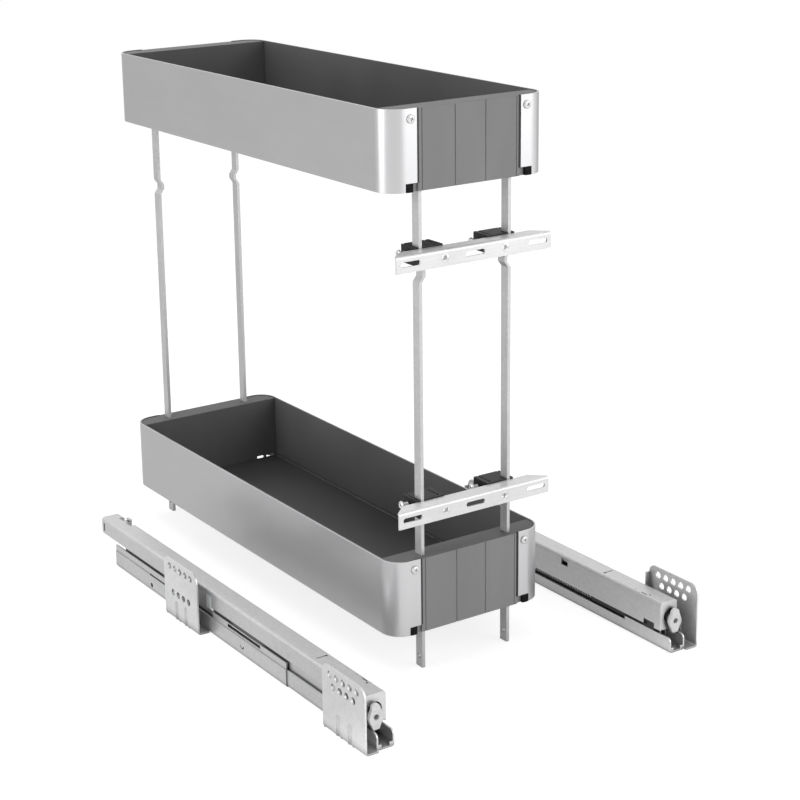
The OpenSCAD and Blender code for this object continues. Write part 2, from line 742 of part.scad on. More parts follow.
// A stamped bracket: a plate on a bottom flange, a turned rear edge, pressed
// gussets across the bend and a tab that is riveted to the rail
module runner_bracket(y0, wall_u, low_row_z) {
  bend_r = 2 * plate_t;
  edge_d = plate_t * 4;
  edge_h = plate_h * 0.88;
  gusset_u = plate_u + gusset_r * 0.55;
  // Places of the gussets along the bracket
  gusset_shares = [0.36, 0.64];
  color(ZINC) difference() {
    union() {
      // Plate and bottom flange, bent from one blank
      translate([plate_u, 0, 0]) mirror([1, 0, 0]) run(y0, y0 + plate_w)
        angle_profile(plate_u - wall_u, plate_h, plate_t, bend_r);
      // Rear edge, turned in towards the rail
      translate([plate_u - edge_d, y0 + plate_w - plate_t, 0])
        cube([edge_d - plate_t / 2, plate_t, edge_h]);
      // Tab against the rail's outer wall
      translate([wall_u, y0 + (plate_w - tab_w) / 2, 0]) cube([plate_t, tab_w, tab_h]);
      // Backs of the gussets
      for (s = gusset_shares) translate([gusset_u, y0 + s * plate_w, 0])
        intersection() {
          gusset(gusset_r + plate_t);
          translate([plate_u - gusset_r - plate_t - gusset_u, -plate_w / 2, 0])
            cube([gusset_r + plate_t / 2, plate_w, plate_h]);
        }
    }
    for (s = gusset_shares) translate([gusset_u, y0 + s * plate_w, -cut]) gusset(gusset_r);
    // Rounded upper corners
    translate([plate_u - edge_d - cut, y0, plate_h])
      corner_cut(plate_r, edge_d + 2 * cut);
    translate([plate_u - edge_d - cut, y0 + plate_w, plate_h]) mirror([0, 1, 0])
      corner_cut(plate_h - edge_h, edge_d + 2 * cut);
    // Holes for the cabinet's screws, in two staggered rows
    for (i = [-2:2]) hole_at(y0 + plate_w / 2 + i * plate_hole_pitch, hole_row_z);
    for (i = [-1.5:1.5]) hole_at(y0 + plate_w / 2 + i * plate_hole_pitch, low_row_z);
    for (i = [-1, 1])
      translate([wall_u - cut, y0 + plate_w / 2 + i * rivet_dy, rivet_z])
        rotate([0, 90, 0]) cylinder(h = plate_t + 2 * cut, d = rivet_d + 2 * bore_fit);
  }
}

// A gusset's round-ended groove, standing on the floor
module gusset(r) {
  h = plate_h * 0.3;
  cylinder(h = h, r = r);
  translate([0, 0, h]) sphere(r);
}

module hole_at(y, z) {
  translate([plate_u - plate_t - cut, y, z]) rotate([0, 90, 0])
    cylinder(h = plate_t + 2 * cut, d = plate_hole_d);
}

// Rounds a corner whose front edge is at y = 0 and whose top is at z = 0
module corner_cut(r, depth) {
  difference() {
    translate([0, -cut, -r]) cube([depth, r + cut, r + cut]);
    translate([-cut, r, -r]) rotate([0, 90, 0]) cylinder(h = depth + 2 * cut, r = r);
  }
}

module front_bracket() {
  runner_bracket(front_plate_y, nose_u1, front_row_z);
}

module rear_bracket() {
  runner_bracket(rear_plate_y, cabinet_u1, rear_row_z);
}

module bracket_rivets() {
  seats = [[front_plate_y, nose_u1], [rear_plate_y, cabinet_u1]];
  color(STEEL) for (side = [LEFT, RIGHT], seat = seats, i = [-1, 1])
    runner(side)
      translate([seat[1] - rail_t, seat[0] + plate_w / 2 + i * rivet_dy, rivet_z])
        rotate([0, 90, 0]) {
          cylinder(h = rail_t + plate_t + rivet_head_h / 2, d = rivet_d);
          translate([0, 0, rail_t + plate_t]) intersection() {
            cylinder(h = rivet_head_h, d = rivet_head_d);
            translate([0, 0, rivet_head_h - rivet_head_d]) sphere(rivet_head_d);
          }
        }
}

// The middle rail: a hat that runs on the lower rollers and carries the upper ones
module middle_rail() {
  wall_h = middle_z1 - middle_z0;
  color(STEEL) run(middle_y0, middle_rear_y) {
    translate([middle_u0, middle_z1]) mirror([0, 1])
      channel_profile(middle_u1 - middle_u0, wall_h, wall_h);
    translate([middle_foot_u, middle_z0])
      square([middle_u0 - middle_foot_u + rail_t / 2, rail_t]);
  }
}

// Places of a cage's rollers: a group at each end
function roller_ys(y0, y1, pitch) =
  [for (i = [1:rollers_per_group]) each [y0 + pitch * i, y1 - pitch * i]];

module rollers(y0, y1, pitch, d, z) {
  color(STEEL) for (y = roller_ys(y0, y1, pitch))
    translate([roller_u, y, z]) rotate([0, 90, 0]) cylinder(h = roller_l, d = d);
}

// A cage plate with a pocket for each roller
module cage_plate(u0, u1, y0, y1, z0, z1, pitch, d) {
  difference() {
    translate([u0, y0, z0]) cube([u1 - u0, y1 - y0, z1 - z0]);
    for (y = roller_ys(y0, y1, pitch))
      translate([roller_u, y - d / 2 - slide_gap, z0 - cut])
        cube([roller_l, d + 2 * slide_gap, z1 - z0 + 2 * cut]);
  }
}

module lower_rollers() {
  rollers(lower_cage_y0, lower_cage_y1, lower_pitch, lower_roller_d, lower_track_z);
}

module lower_cage() {
  half = lower_roller_d / 3;
  color(CLEAR_PLASTIC)
    cage_plate(middle_foot_u, middle_u1, lower_cage_y0, lower_cage_y1,
               lower_track_z - half, lower_track_z + half, lower_pitch, lower_roller_d);
}

module upper_rollers() {
  rollers(upper_cage_y0, upper_cage_y1, upper_pitch, upper_roller_d, upper_track_z);
}

// The upper cage, with a guide tab that hangs beside the middle rail
module upper_cage() {
  half = upper_roller_d / 4;
  u0 = rail_t + slide_gap;
  u1 = rail_w - rail_t - slide_gap;
  tab_u = middle_u1 + 2 * slide_gap;
  tab_l = plate_w / 5;
  tab_z = strip_top + slide_gap;
  color(CLEAR_PLASTIC) {
    cage_plate(u0, u1, upper_cage_y0, upper_cage_y1,
               upper_track_z - half, upper_track_z + half, upper_pitch, upper_roller_d);
    translate([tab_u, relief_y, tab_z]) cube([u1 - tab_u, tab_l, upper_track_z - tab_z]);
  }
}

// The drawer rail's profile: a channel turned over the middle rail
module drawer_profile(out_z) {
  translate([0, rail_h]) mirror([0, 1])
    channel_profile(rail_w, rail_h - drawer_in_z, rail_h - out_z);
}

module drawer_rail() {
  out_h = rail_h - drawer_out_z;
  relief_l = plate_w * 0.65;
  cutout_l = plate_w * 0.4;
  cutout_y = drawer_rear_y - cutout_l * 1.5;
  cutout_u = rail_w / 3;
  hook_y = cutout_y + (cutout_l - hook_l) / 2;
  end_slot_w = 2 * rail_t;
  slit_y = seam_y + 13 * rail_t;
  lug_u = middle_u0 - slide_gap - cabinet_u0 - rail_t;
  lug_top = drawer_in_z + rail_t;
  color(STEEL) difference() {
    union() {
      run(seam_y, drawer_rear_y) drawer_profile(drawer_out_z);
      // Lug that holds the rear end of the closing spring
      translate([0, spring_y1, nose_in_h + slide_gap])
        cube([middle_u0 - slide_gap, rail_t, lug_top - nose_in_h - slide_gap]);
      translate([middle_u0 - slide_gap - lug_u, spring_y1, carriage_z])
        cube([lug_u, rail_t, lug_top - carriage_z]);
      // Hook for the rear of a drawer
      translate([0, hook_y, rail_h - rail_t]) cube([rail_t, hook_l, rail_t + hook_h]);
      translate([0, hook_y, rail_h + hook_h - rail_t]) cube([hook_h, hook_l, rail_t]);
    }
    // Relief in the outer wall, where the cage's guide tab shows
    translate([rail_w - rail_t - cut, relief_y, drawer_out_z - cut])
      cube([rail_t + 2 * cut, relief_l, out_h * 0.65 + cut]);
    // Cut-out in the top and inner wall, on both sides of the hook
    for (span = [[cutout_y, hook_y], [hook_y + hook_l, cutout_y + cutout_l]])
      translate([-cut, span[0], rail_h - 3 * rail_r])
        cube([cutout_u + cut, span[1] - span[0], 3 * rail_r + cut]);
    // Slot near the rear end of the outer wall
    translate([rail_w - rail_t - cut, drawer_rear_y - 2 * end_slot_w, drawer_out_z + out_h / 6])
      cube([rail_t + 2 * cut, end_slot_w, out_h / 2]);
    // Window in the inner wall
    translate([-cut, window_y, rail_h - rail_r - window_h])
      cube([rail_t + 2 * cut, window_l, window_h]);
    // Slit across the top, with a round end
    translate([rail_w / 4, slit_y, rail_h - rail_t - cut]) {
      cube([rail_w / 2, rail_t * 0.8, rail_t + 2 * cut]);
      translate([0, rail_t * 0.4, 0]) cylinder(h = rail_t + 2 * cut, r = rail_t * 0.8);
    }
  }
}

// The front housing, which carries the locking cam
module front_housing() {
  chamfer = 2 * rail_t;
  face_z = drawer_in_z;
  tongue_l = 8 * rail_t;
  tongue_z = rail_h - 2 * rail_t - fit;
  mark_w = rail_t * 0.7;
  mark_l = catch_l * 0.55;
  mark_y = catch_y + catch_l;
  color(STEEL) difference() {
    union() {
      run(drawer_y, seam_y) drawer_profile(housing_out_z);
      // Face plate and the shaft bearing behind it
      run(drawer_y, drawer_y + rail_t)
        polygon([[chamfer, face_z], [rail_w - rail_t, face_z], [rail_w, face_z + rail_t],
                 [rail_w, rail_h - rail_r], [rail_w - rail_r, rail_h], [rail_r, rail_h],
                 [0, rail_h - rail_r], [0, face_z + chamfer]]);
      translate([rail_t / 2, drawer_y + rail_t / 2, face_z + chamfer])
        cube([rail_w - rail_t, rail_t / 2 + bearing_d, rail_h - rail_t / 2 - face_z - chamfer]);
      // Tongue that goes in under the drawer rail's top
      translate([rail_r, seam_y - 2 * rail_t, tongue_z])
        cube([rail_w - 2 * rail_r, 2 * rail_t + tongue_l, rail_t]);
      translate([rail_r, seam_y - 2 * rail_t, tongue_z])
        cube([rail_w - 2 * rail_r, 2 * rail_t, rail_t * 1.5]);
    }
    // Open recess round the boss that holds the cam's shaft
    difference() {
      translate([recess_u, drawer_y - cut, recess_z]) rotate([-90, 0, 0])
        cylinder(h = cut + bearing_d, d = recess_d);
      translate([cam_u, drawer_y - 2 * cut, cam_z]) rotate([-90, 0, 0])
        cylinder(h = bearing_d + 4 * cut, d = cam_boss_d);
    }
    translate([cam_u, drawer_y - cut, cam_z]) rotate([-90, 0, 0])
      cylinder(h = rail_t + bearing_d + 2 * cut, d = cam_shaft_d + 2 * bore_fit);
    // Window for the release catch
    translate([-cut, catch_y - fit, drawer_in_z - cut])
      cube([rail_t + 2 * cut, catch_l + 2 * fit, catch_top - drawer_in_z + cut + fit]);
    // Gauge marks in the top, near its inner edge
    translate([rail_r, mark_y, rail_h - rail_t - cut])
      cube([mark_w, mark_l, rail_t + 2 * cut]);
    translate([rail_r, mark_y + 2 * mark_l, rail_h - rail_t - cut])
      cube([mark_w, mark_w, rail_t + 2 * cut]);
    translate([rail_r + 2 * mark_w, mark_y - 2 * mark_w, rail_h - rail_t - cut])
      cylinder(h = rail_t + 2 * cut, r = mark_w);
  }
}

// The locking cam: a lever with a hex socket, on a shaft in the housing
module locking_cam() {
  lever_y = drawer_y - cam_gap - cam_t;
  w = cam_w / 2;
  color(ZINC) difference() {
    union() {
      translate([cam_u, lever_y + cam_t, cam_z]) rotate([90, 0, 0]) linear_extrude(cam_t) {
        polygon([[-cam_head_r, cam_up - cam_head_r], [-w, 0], [-w * 0.9, -w * 0.45],
                 [-w * 0.4, -cam_down], [w * 0.4, -cam_down], [w * 0.9, -w * 0.45],
                 [w, 0], [cam_head_r, cam_up - cam_head_r]]);
        translate([0, cam_up - cam_head_r]) circle(cam_head_r);
      }
      translate([cam_u, lever_y + cam_t / 2, cam_z]) rotate([-90, 0, 0])
        cylinder(h = cam_t / 2 + cam_gap - slide_gap, d = cam_boss_d);
      translate([cam_u, lever_y + cam_t / 2, cam_z]) rotate([-90, 0, 0])
        cylinder(h = cam_t / 2 + cam_gap + rail_t + bearing_d, d = cam_shaft_d);
    }
    translate([cam_u, lever_y - cut, cam_z]) rotate([-90, 0, 0])
      cylinder(h = cut + cam_t + cam_gap / 2, d = hex_d, $fn = 6);
  }
}

// The release catch: its button fills the window and its flange lies behind it
module release_catch() {
  flange = 2 * fit + rail_t / 2;
  color(BLACK) {
    translate([fit, catch_y, catch_bottom])
      cube([middle_u0 - 2 * slide_gap - fit, catch_l, drawer_in_z - catch_bottom]);
    translate([fit, catch_y, catch_bottom])
      cube([middle_u0 - 2 * slide_gap - fit, catch_l * 0.7, catch_top - catch_bottom]);
    translate([rail_t, catch_y - flange, drawer_in_z])
      cube([2 * rail_t, catch_l + 2 * flange, catch_top - drawer_in_z + flange]);
  }
}

// The closing carriage, which hangs on the drawer rail and holds the damper's rod
module closing_carriage() {
  d = 2 * (spring_z - carriage_z);
  y0 = spring_y0 - carriage_l;
  stop_y = spring_y0 - damper_stroke;
  color(BLACK) {
    translate([spring_u - d / 2, y0, carriage_z]) cube([d, carriage_l, d]);
    translate([rail_t, y0, spring_z]) cube([d, carriage_l, 1.5 * d]);
    translate([rail_t, stop_y - rail_t, spring_z])
      cube([damper_d, rail_t, damper_z + damper_d / 2 - spring_z]);
  }
}

// The closing spring: one unbroken tube along a helix, with straight ends
function coil_point(i) =
  let (a = 360 * i / rings_per_coil)
  [coil_r * cos(a), spring_y0 + wire_d + spring_rise * i / coil_steps, coil_r * sin(a)];

coil_points = concat([[coil_r, spring_y0, 0]],
                     [for (i = [0:coil_steps]) coil_point(i)],
                     [[coil_r, spring_y1, 0]]);

function unit(v) = v / norm(v);

// Direction of the tube at a ring: straight along Y at both ends
function tube_dir(i) =
  i <= 0 || i >= len(coil_points) - 1 ? [0, 1, 0]
  : unit(unit(coil_points[i + 1] - coil_points[i]) + unit(coil_points[i] - coil_points[i - 1]));

function tube_ring(i) =
  let (p = coil_points[i],
       t = tube_dir(i),
       out = unit([p[0], 0, p[2]]),
       n = unit(out - (out * t) * t),
       b = cross(t, n))
  [for (k = [0:tube_sides - 1])
    let (a = 360 * k / tube_sides) p + wire_d / 2 * (cos(a) * n + sin(a) * b)];

// Least gap between the tube's surface and itself, one coil further on
self_gap = min([for (i = [1:len(coil_points) - 2 - rings_per_coil])
  norm(coil_points[i + rings_per_coil] - coil_points[i]) - wire_d]);
echo(closing_spring_least_gap_to_itself = self_gap);

module closing_spring() {
  n = len(coil_points);
  verts = [for (i = [0:n - 1]) each tube_ring(i)];
  walls = [for (i = [0:n - 2], k = [0:tube_sides - 1])
    let (a = i * tube_sides + k,
         b = i * tube_sides + (k + 1) % tube_sides,
         c = a + tube_sides,
         d = b + tube_sides)
    each [[a, c, b], [b, c, d]]];
  first = [for (k = [1:tube_sides - 2]) [0, k, k + 1]];
  base = (n - 1) * tube_sides;
  last = [for (k = [1:tube_sides - 2]) [base, base + k + 1, base + k]];
  color(BRIGHT_ZINC) translate([spring_u, 0, spring_z])
    polyhedron(points = verts, faces = concat(first, walls, last), convexity = 10);
}

// The damper: a cylinder held to the drawer rail by two saddles, and its rod
module damper() {
  u = (rail_t + middle_u0) / 2;
  length = spring_l * 0.8;
  saddle_l = 2 * damper_d;
  color(BLACK) difference() {
    union() {
      translate([u, spring_y0, damper_z]) rotate([-90, 0, 0]) cylinder(h = length, d = damper_d);
      for (y = [spring_y0, spring_y0 + length - saddle_l])
        translate([rail_t, y, damper_z - damper_d / 4]) cube([u - rail_t, saddle_l, damper_d / 2]);
    }
    translate([u, spring_y0 - cut, damper_z]) rotate([-90, 0, 0])
      cylinder(h = damper_stroke / 2 + cut, d = rod_d + 2 * bore_fit);
  }
  color(BRIGHT_ZINC) translate([u, spring_y0 - damper_stroke, damper_z]) rotate([-90, 0, 0])
    cylinder(h = damper_stroke * 1.4, d = rod_d);
}

module tray_node(z) {
  at_frame() translate([0, 0, z]) children();
}

module runner_node(side) {
  at_frame() runner(side) children();
}

tray_node(upper_z) on_side(LEFT) panel();  // upper_left_panel
tray_node(upper_z) panel();  // upper_right_panel
tray_node(upper_z) on_side(LEFT) liner();  // upper_left_liner
tray_node(upper_z) liner();  // upper_right_liner
tray_node(upper_z) block(blind_top);  // upper_front_block
tray_node(upper_z) at_end(true) block(blind_top);  // upper_rear_block
tray_node(upper_z) floor_plate();  // upper_floor
tray_node(lower_z) on_side(LEFT) panel();  // lower_left_panel
tray_node(lower_z) panel();  // lower_right_panel
tray_node(lower_z) on_side(LEFT) liner();  // lower_left_liner
tray_node(lower_z) liner();  // lower_right_liner
tray_node(lower_z) block(tray_h + cut);  // lower_front_block
tray_node(lower_z) at_end(true) block(tray_h + cut);  // lower_rear_block
tray_node(lower_z) floor_plate();  // lower_floor
at_frame() panel_screws();
at_frame() corner_clips();
at_frame() on_side(LEFT) bar(false);  // front_left_bar
at_frame() bar(false);  // front_right_bar
at_frame() on_side(LEFT) bar(true);  // rear_left_bar
at_frame() bar(true);  // rear_right_bar
at_frame() door_bracket(upper_bracket_z);  // upper_door_bracket
at_frame() door_bracket(lower_bracket_z);  // lower_door_bracket
at_frame() clamp(LEFT, upper_bracket_z);  // upper_left_clamp
at_frame() clamp(RIGHT, upper_bracket_z);  // upper_right_clamp
at_frame() clamp(LEFT, lower_bracket_z);  // lower_left_clamp
at_frame() clamp(RIGHT, lower_bracket_z);  // lower_right_clamp
at_frame() bracket_screws();
at_frame() clamp_screws();
runner_node(LEFT) cabinet_rail();  // left_cabinet_rail
runner_node(LEFT) front_bracket();  // left_front_bracket
runner_node(LEFT) rear_bracket();  // left_rear_bracket
runner_node(LEFT) middle_rail();  // left_middle_rail
runner_node(LEFT) lower_cage();  // left_lower_cage
runner_node(LEFT) lower_rollers();  // left_lower_rollers
runner_node(LEFT) upper_cage();  // left_upper_cage
runner_node(LEFT) upper_rollers();  // left_upper_rollers
runner_node(LEFT) drawer_rail();  // left_drawer_rail
runner_node(LEFT) front_housing();  // left_front_housing
runner_node(LEFT) locking_cam();  // left_locking_cam
runner_node(LEFT) closing_spring();  // left_closing_spring
runner_node(LEFT) closing_carriage();  // left_closing_carriage
runner_node(LEFT) release_catch();  // left_release_catch
runner_node(LEFT) damper();  // left_damper
runner_node(RIGHT) cabinet_rail();  // right_cabinet_rail
runner_node(RIGHT) front_bracket();  // right_front_bracket
runner_node(RIGHT) rear_bracket();  // right_rear_bracket
runner_node(RIGHT) middle_rail();  // right_middle_rail
runner_node(RIGHT) lower_cage();  // right_lower_cage
runner_node(RIGHT) lower_rollers();  // right_lower_rollers
runner_node(RIGHT) upper_cage();  // right_upper_cage
runner_node(RIGHT) upper_rollers();  // right_upper_rollers
runner_node(RIGHT) drawer_rail();  // right_drawer_rail
runner_node(RIGHT) front_housing();  // right_front_housing
runner_node(RIGHT) locking_cam();  // right_locking_cam
runner_node(RIGHT) closing_spring();  // right_closing_spring
runner_node(RIGHT) closing_carriage();  // right_closing_carriage
runner_node(RIGHT) release_catch();  // right_release_catch
runner_node(RIGHT) damper();  // right_damper
at_frame() bracket_rivets();
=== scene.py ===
import math

import bmesh
import bpy
from mathutils import Euler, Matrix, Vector


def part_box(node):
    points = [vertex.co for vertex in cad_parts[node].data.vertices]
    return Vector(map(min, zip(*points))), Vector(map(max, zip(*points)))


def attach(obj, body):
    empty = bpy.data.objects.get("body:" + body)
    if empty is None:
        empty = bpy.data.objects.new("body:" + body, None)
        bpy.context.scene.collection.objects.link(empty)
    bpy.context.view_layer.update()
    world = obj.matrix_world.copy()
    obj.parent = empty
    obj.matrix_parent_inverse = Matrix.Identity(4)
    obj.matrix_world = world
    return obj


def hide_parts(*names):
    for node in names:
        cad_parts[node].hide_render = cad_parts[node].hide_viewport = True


bl_info = {
    "name": "Pull-out Cabinet Basket",
    "version": (1, 0, 0),
    "blender": (4, 5, 0),
    "location": "3D View > Sidebar > Pull-out Basket",
    "description": "Finishes, fixings, rollers, springs and studio for a pull-out cabinet basket",
    "category": "Object",
}

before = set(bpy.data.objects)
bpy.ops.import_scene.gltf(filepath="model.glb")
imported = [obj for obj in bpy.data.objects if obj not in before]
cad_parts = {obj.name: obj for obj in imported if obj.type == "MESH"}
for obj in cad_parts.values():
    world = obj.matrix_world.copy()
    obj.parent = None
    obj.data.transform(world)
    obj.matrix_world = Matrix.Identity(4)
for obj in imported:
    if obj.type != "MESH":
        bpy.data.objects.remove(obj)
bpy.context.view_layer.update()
MM = 0.001
SIDES = ("left", "right")
LEVELS = ("lower", "upper")

# The planes of the trays' end faces: the end blocks' pads lie this far behind them
PAD_STEP = 0.6 * MM
TRAY_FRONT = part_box("upper_front_block")[0].y - PAD_STEP
TRAY_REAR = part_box("upper_rear_block")[1].y + PAD_STEP
TRAY_MIDDLE = (TRAY_FRONT + TRAY_REAR) / 2
TRAY_HALF = (TRAY_REAR - TRAY_FRONT) / 2

# Heights of the trays' feet and rims
TRAY_FOOT = {level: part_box(level + "_left_panel")[0].z for level in LEVELS}
TRAY_RIM = {level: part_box(level + "_left_panel")[1].z for level in LEVELS}

# From the trays' middle to the end blocks' faces that look towards it, and how wide the change to
# their painted shade is there
BLOCK_HALF = TRAY_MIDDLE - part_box("upper_front_block")[1].y
BLOCK_SHADE_FADE = (0.1 * MM, 0.3 * MM)

# From the trays' ends to where the liners' black ends start, painted shade of the narrow gap
# between panel and end block, and the width of that change
LINER_GAP_SHADE_START = 2.6 * MM
LINER_GAP_SHADE_FADE = 0.1 * MM

# From the centre plane to the free edges of the panels' flanges
FLANGE_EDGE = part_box("upper_right_panel")[0].x

# Edging beside a flange: half its depth, its setback from the tray's end, its start above the
# tray's foot, the gap under the rim and the sides of its outline
SEAL_HALF_DEPTH = 0.45 * MM
SEAL_SETBACK = 0.3 * MM
SEAL_FOOT = 7.0 * MM
SEAL_TOP_GAP = 0.5 * MM
SEAL_SIDES = 16

# Panel screws: from the centre plane, below the rim, and their length
PANEL_SCREW_X = 57.0 * MM
PANEL_SCREW_DROP = 8.2 * MM
PANEL_SCREW_L = 12.0 * MM

# Countersunk screws of the door brackets: from the centre plane, above the bracket's foot
BRACKET_SCREW_X = 30.0 * MM
BRACKET_SCREW_Z = 7.0 * MM
BRACKET_SCREW_L = 12.0 * MM
SUNK_HEAD_H = 1.275 * MM

# Clamp screws: how far their heads stand off the clamp, behind the trays' fronts, above the bracket
CLAMP_SCREW_STAND = 5.5 * MM
CLAMP_SCREW_Y = 20.6 * MM
CLAMP_SCREW_Z = 8.4 * MM
CLAMP_SCREW_L = 29.0 * MM

# Rivets of the wall brackets: height, head, shank and the sheet that they hold
RIVET_Z = 7.5 * MM
RIVET_HEAD_R = 3.5 * MM
RIVET_HEAD_H = 1.2 * MM
RIVET_SHANK_R = 2.0 * MM
RIVET_SHANK_L = 3.0 * MM
BRACKET_SHEET = 1.5 * MM

# Rollers at each end of a cage, and their pitch in roller diameters
ROLLERS_PER_GROUP = 4
ROLLER_PITCH = {"lower": 2.0, "upper": 1.6}

FLOOR_REACH = 12.0
FLOOR_LEVEL = -0.2 * MM
FLOOR_GREY = 0.48
SEEN_GLOW = 0.8
REAR_GLOW = 0.42
FRONT_GLOW = 0.9
GLOW_FADE = (TRAY_FRONT - 0.02, TRAY_FRONT - 0.12)

# The camera that was fitted to the photograph: place, turns in radians and shift
CAMERA_PLACE = (-0.88193, -1.37865, 0.70656)
CAMERA_YAW, CAMERA_PITCH, CAMERA_ROLL = -0.564, -0.2681, -0.0209
CAMERA_SHIFT = (0.08, -0.1)
SENSOR_WIDTH = 36.0


def node_names(*endings):
    """The CAD nodes whose names end in one of these words."""
    return [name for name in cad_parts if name.endswith(endings)]


# Materials

# Sockets of a Mix node that is set to colours
MIX_SHARE, MIX_UNDER, MIX_OVER, MIX_RESULT = 0, 6, 7, 2


class Finish:
    """One node-based material, laid out on the object's own coordinates in metres."""

    def __init__(self, name, metallic=0.0):
        self.material = bpy.data.materials.new(name)
        self.material.use_nodes = True
        self.tree = self.material.node_tree
        self.shader = self.tree.nodes["Principled BSDF"]
        self.shader.inputs["Metallic"].default_value = metallic
        self.coords = self.add("ShaderNodeTexCoord").outputs["Object"]
        self.colour = None
        self.normal = None

    def add(self, kind, **settings):
        """A new node with these settings."""
        node = self.tree.nodes.new(kind)
        for key, value in settings.items():
            setattr(node, key, value)
        return node

    def link(self, source, target):
        self.tree.links.new(source, target)

    def noise(self, scale, detail=3.0, roughness=0.55):
        """Noise whose grains are 1/scale metres long on each axis."""
        mapping = self.add("ShaderNodeMapping")
        mapping.inputs["Scale"].default_value = scale
        texture = self.add("ShaderNodeTexNoise")
        texture.inputs["Scale"].default_value = 1.0
        texture.inputs["Detail"].default_value = detail
        texture.inputs["Roughness"].default_value = roughness
        self.link(self.coords, mapping.inputs["Vector"])
        self.link(mapping.outputs["Vector"], texture.inputs["Vector"])
        return texture.outputs["Fac"]

    def flakes(self, scale):
        """Flat random patches, as on zinc that has crystallised."""
        texture = self.add("ShaderNodeTexVoronoi")
        texture.inputs["Scale"].default_value = scale
        self.link(self.coords, texture.inputs["Vector"])
        split = self.add("ShaderNodeSeparateColor")
        self.link(texture.outputs["Color"], split.inputs["Color"])
        return split.outputs["Red"]

    def from_middle(self):
        """How far along the trays a point lies from their middle, in metres."""
        split = self.add("ShaderNodeSeparateXYZ")
        shift = self.add("ShaderNodeMath", operation="SUBTRACT")
        shift.inputs[1].default_value = TRAY_MIDDLE
        length = self.add("ShaderNodeMath", operation="ABSOLUTE")
        self.link(self.coords, split.inputs["Vector"])
        self.link(split.outputs["Y"], shift.inputs[0])
        self.link(shift.outputs[0], length.inputs[0])
        return length.outputs[0]

    def upward(self):
        """1 where a face looks straight up, 0 on upright faces."""
        geometry = self.add("ShaderNodeNewGeometry")
        split = self.add("ShaderNodeSeparateXYZ")
        self.link(geometry.outputs["True Normal"], split.inputs["Vector"])
        return split.outputs["Z"]

    def span(self, value, low, high, start=0.3, end=0.7):
        """Stretches a value from start..end to low..high."""
        node = self.add("ShaderNodeMapRange")
        node.inputs["From Min"].default_value = start
        node.inputs["From Max"].default_value = end
        node.inputs["To Min"].default_value = low
        node.inputs["To Max"].default_value = high
        self.link(value, node.inputs["Value"])
        return node.outputs["Result"]

    def base(self, colour):
        """The plain colour that shades and blends start from."""
        self.colour = tuple(colour)[:3] + (1.0,)

    def shade(self, value):
        """Multiplies the colour so far by a grey value."""
        mix = self.add("ShaderNodeMix", data_type="RGBA", blend_type="MULTIPLY")
        mix.inputs[MIX_SHARE].default_value = 1.0
        self.feed(self.colour, mix.inputs[MIX_UNDER])
        self.link(value, mix.inputs[MIX_OVER])
        self.colour = mix.outputs[MIX_RESULT]

    def blend(self, mask, colour):
        """Lays another colour over the colour so far where mask is 1."""
        mix = self.add("ShaderNodeMix", data_type="RGBA")
        self.link(mask, mix.inputs[MIX_SHARE])
        self.feed(self.colour, mix.inputs[MIX_UNDER])
        mix.inputs[MIX_OVER].default_value = tuple(colour)[:3] + (1.0,)
        self.colour = mix.outputs[MIX_RESULT]

    def feed(self, value, socket):
        """Links an output to a socket, or writes a plain value there."""
        if isinstance(value, tuple):
            socket.default_value = value
        else:
            self.link(value, socket)

    def soften(self, radius, edge_wear_and_light=None, share=0.6):
        """Rounds the edges in the shading and, given an edge colour, blends it onto them: partly
        wear from handling, partly painted light, a painted highlight where that colour is paler
        than the surface and painted shade where it is darker.
        """
        bevel = self.add("ShaderNodeBevel", samples=4)
        bevel.inputs["Radius"].default_value = radius
        self.normal = bevel.outputs["Normal"]
        if edge_wear_and_light is not None:
            geometry = self.add("ShaderNodeNewGeometry")
            dot = self.add("ShaderNodeVectorMath", operation="DOT_PRODUCT")
            self.link(bevel.outputs["Normal"], dot.inputs[0])
            self.link(geometry.outputs["Normal"], dot.inputs[1])
            self.blend(self.span(dot.outputs["Value"], share, 0.0, 0.75, 0.98), edge_wear_and_light)

    def paint_hollow_shade(self, reach, shade, closed, open_sky):
        """Painted shade: darkens joins, gaps and grooves that are narrower than reach, where
        ambient occlusion finds little open sky.
        """
        hollow = self.add("ShaderNodeAmbientOcclusion", samples=6)
        hollow.inputs["Distance"].default_value = reach
        self.shade(self.span(hollow.outputs["AO"], shade, 1.0, closed, open_sky))

    def bump(self, value, depth, strength=1.0):
        """Raises the surface in the shading, by up to depth where value is 1."""
        node = self.add("ShaderNodeBump")
        node.inputs["Strength"].default_value = strength
        node.inputs["Distance"].default_value = depth
        self.link(value, node.inputs["Height"])
        if self.normal is not None:
            self.link(self.normal, node.inputs["Normal"])
        self.normal = node.outputs["Normal"]

    def roughness(self, value):
        """One roughness, or one that follows a pattern."""
        if isinstance(value, float):
            self.shader.inputs["Roughness"].default_value = value
        else:
            self.link(value, self.shader.inputs["Roughness"])

    def done(self):
        """Wires colour and normal to the shader and hands over the material."""
        self.feed(self.colour, self.shader.inputs["Base Color"])
        if self.normal is not None:
            self.link(self.normal, self.shader.inputs["Normal"])
        return self.material


def sheet_metal(name, colour, edge_wear_and_light, grain, metallic, rough, lines=0.05, cloud=0.05):
    """Rolled or brushed sheet: fine lines across grain, slow clouds, and paler edges that are
    partly bright cut edges and partly a painted highlight.
    """
    f = Finish(name, metallic)
    f.base(colour)
    fine = f.noise(grain, detail=4.0)
    slow = f.noise((14.0, 14.0, 14.0), detail=2.0)
    f.shade(f.span(fine, 1.0 - lines, 1.0 + lines))
    f.shade(f.span(slow, 1.0 - cloud, 1.0 + cloud))
    f.soften(0.35 * MM, edge_wear_and_light)
    f.bump(fine, 0.006 * MM, 0.4)
    f.roughness(f.span(fine, rough - 0.04, rough + 0.04))
    return f.done()


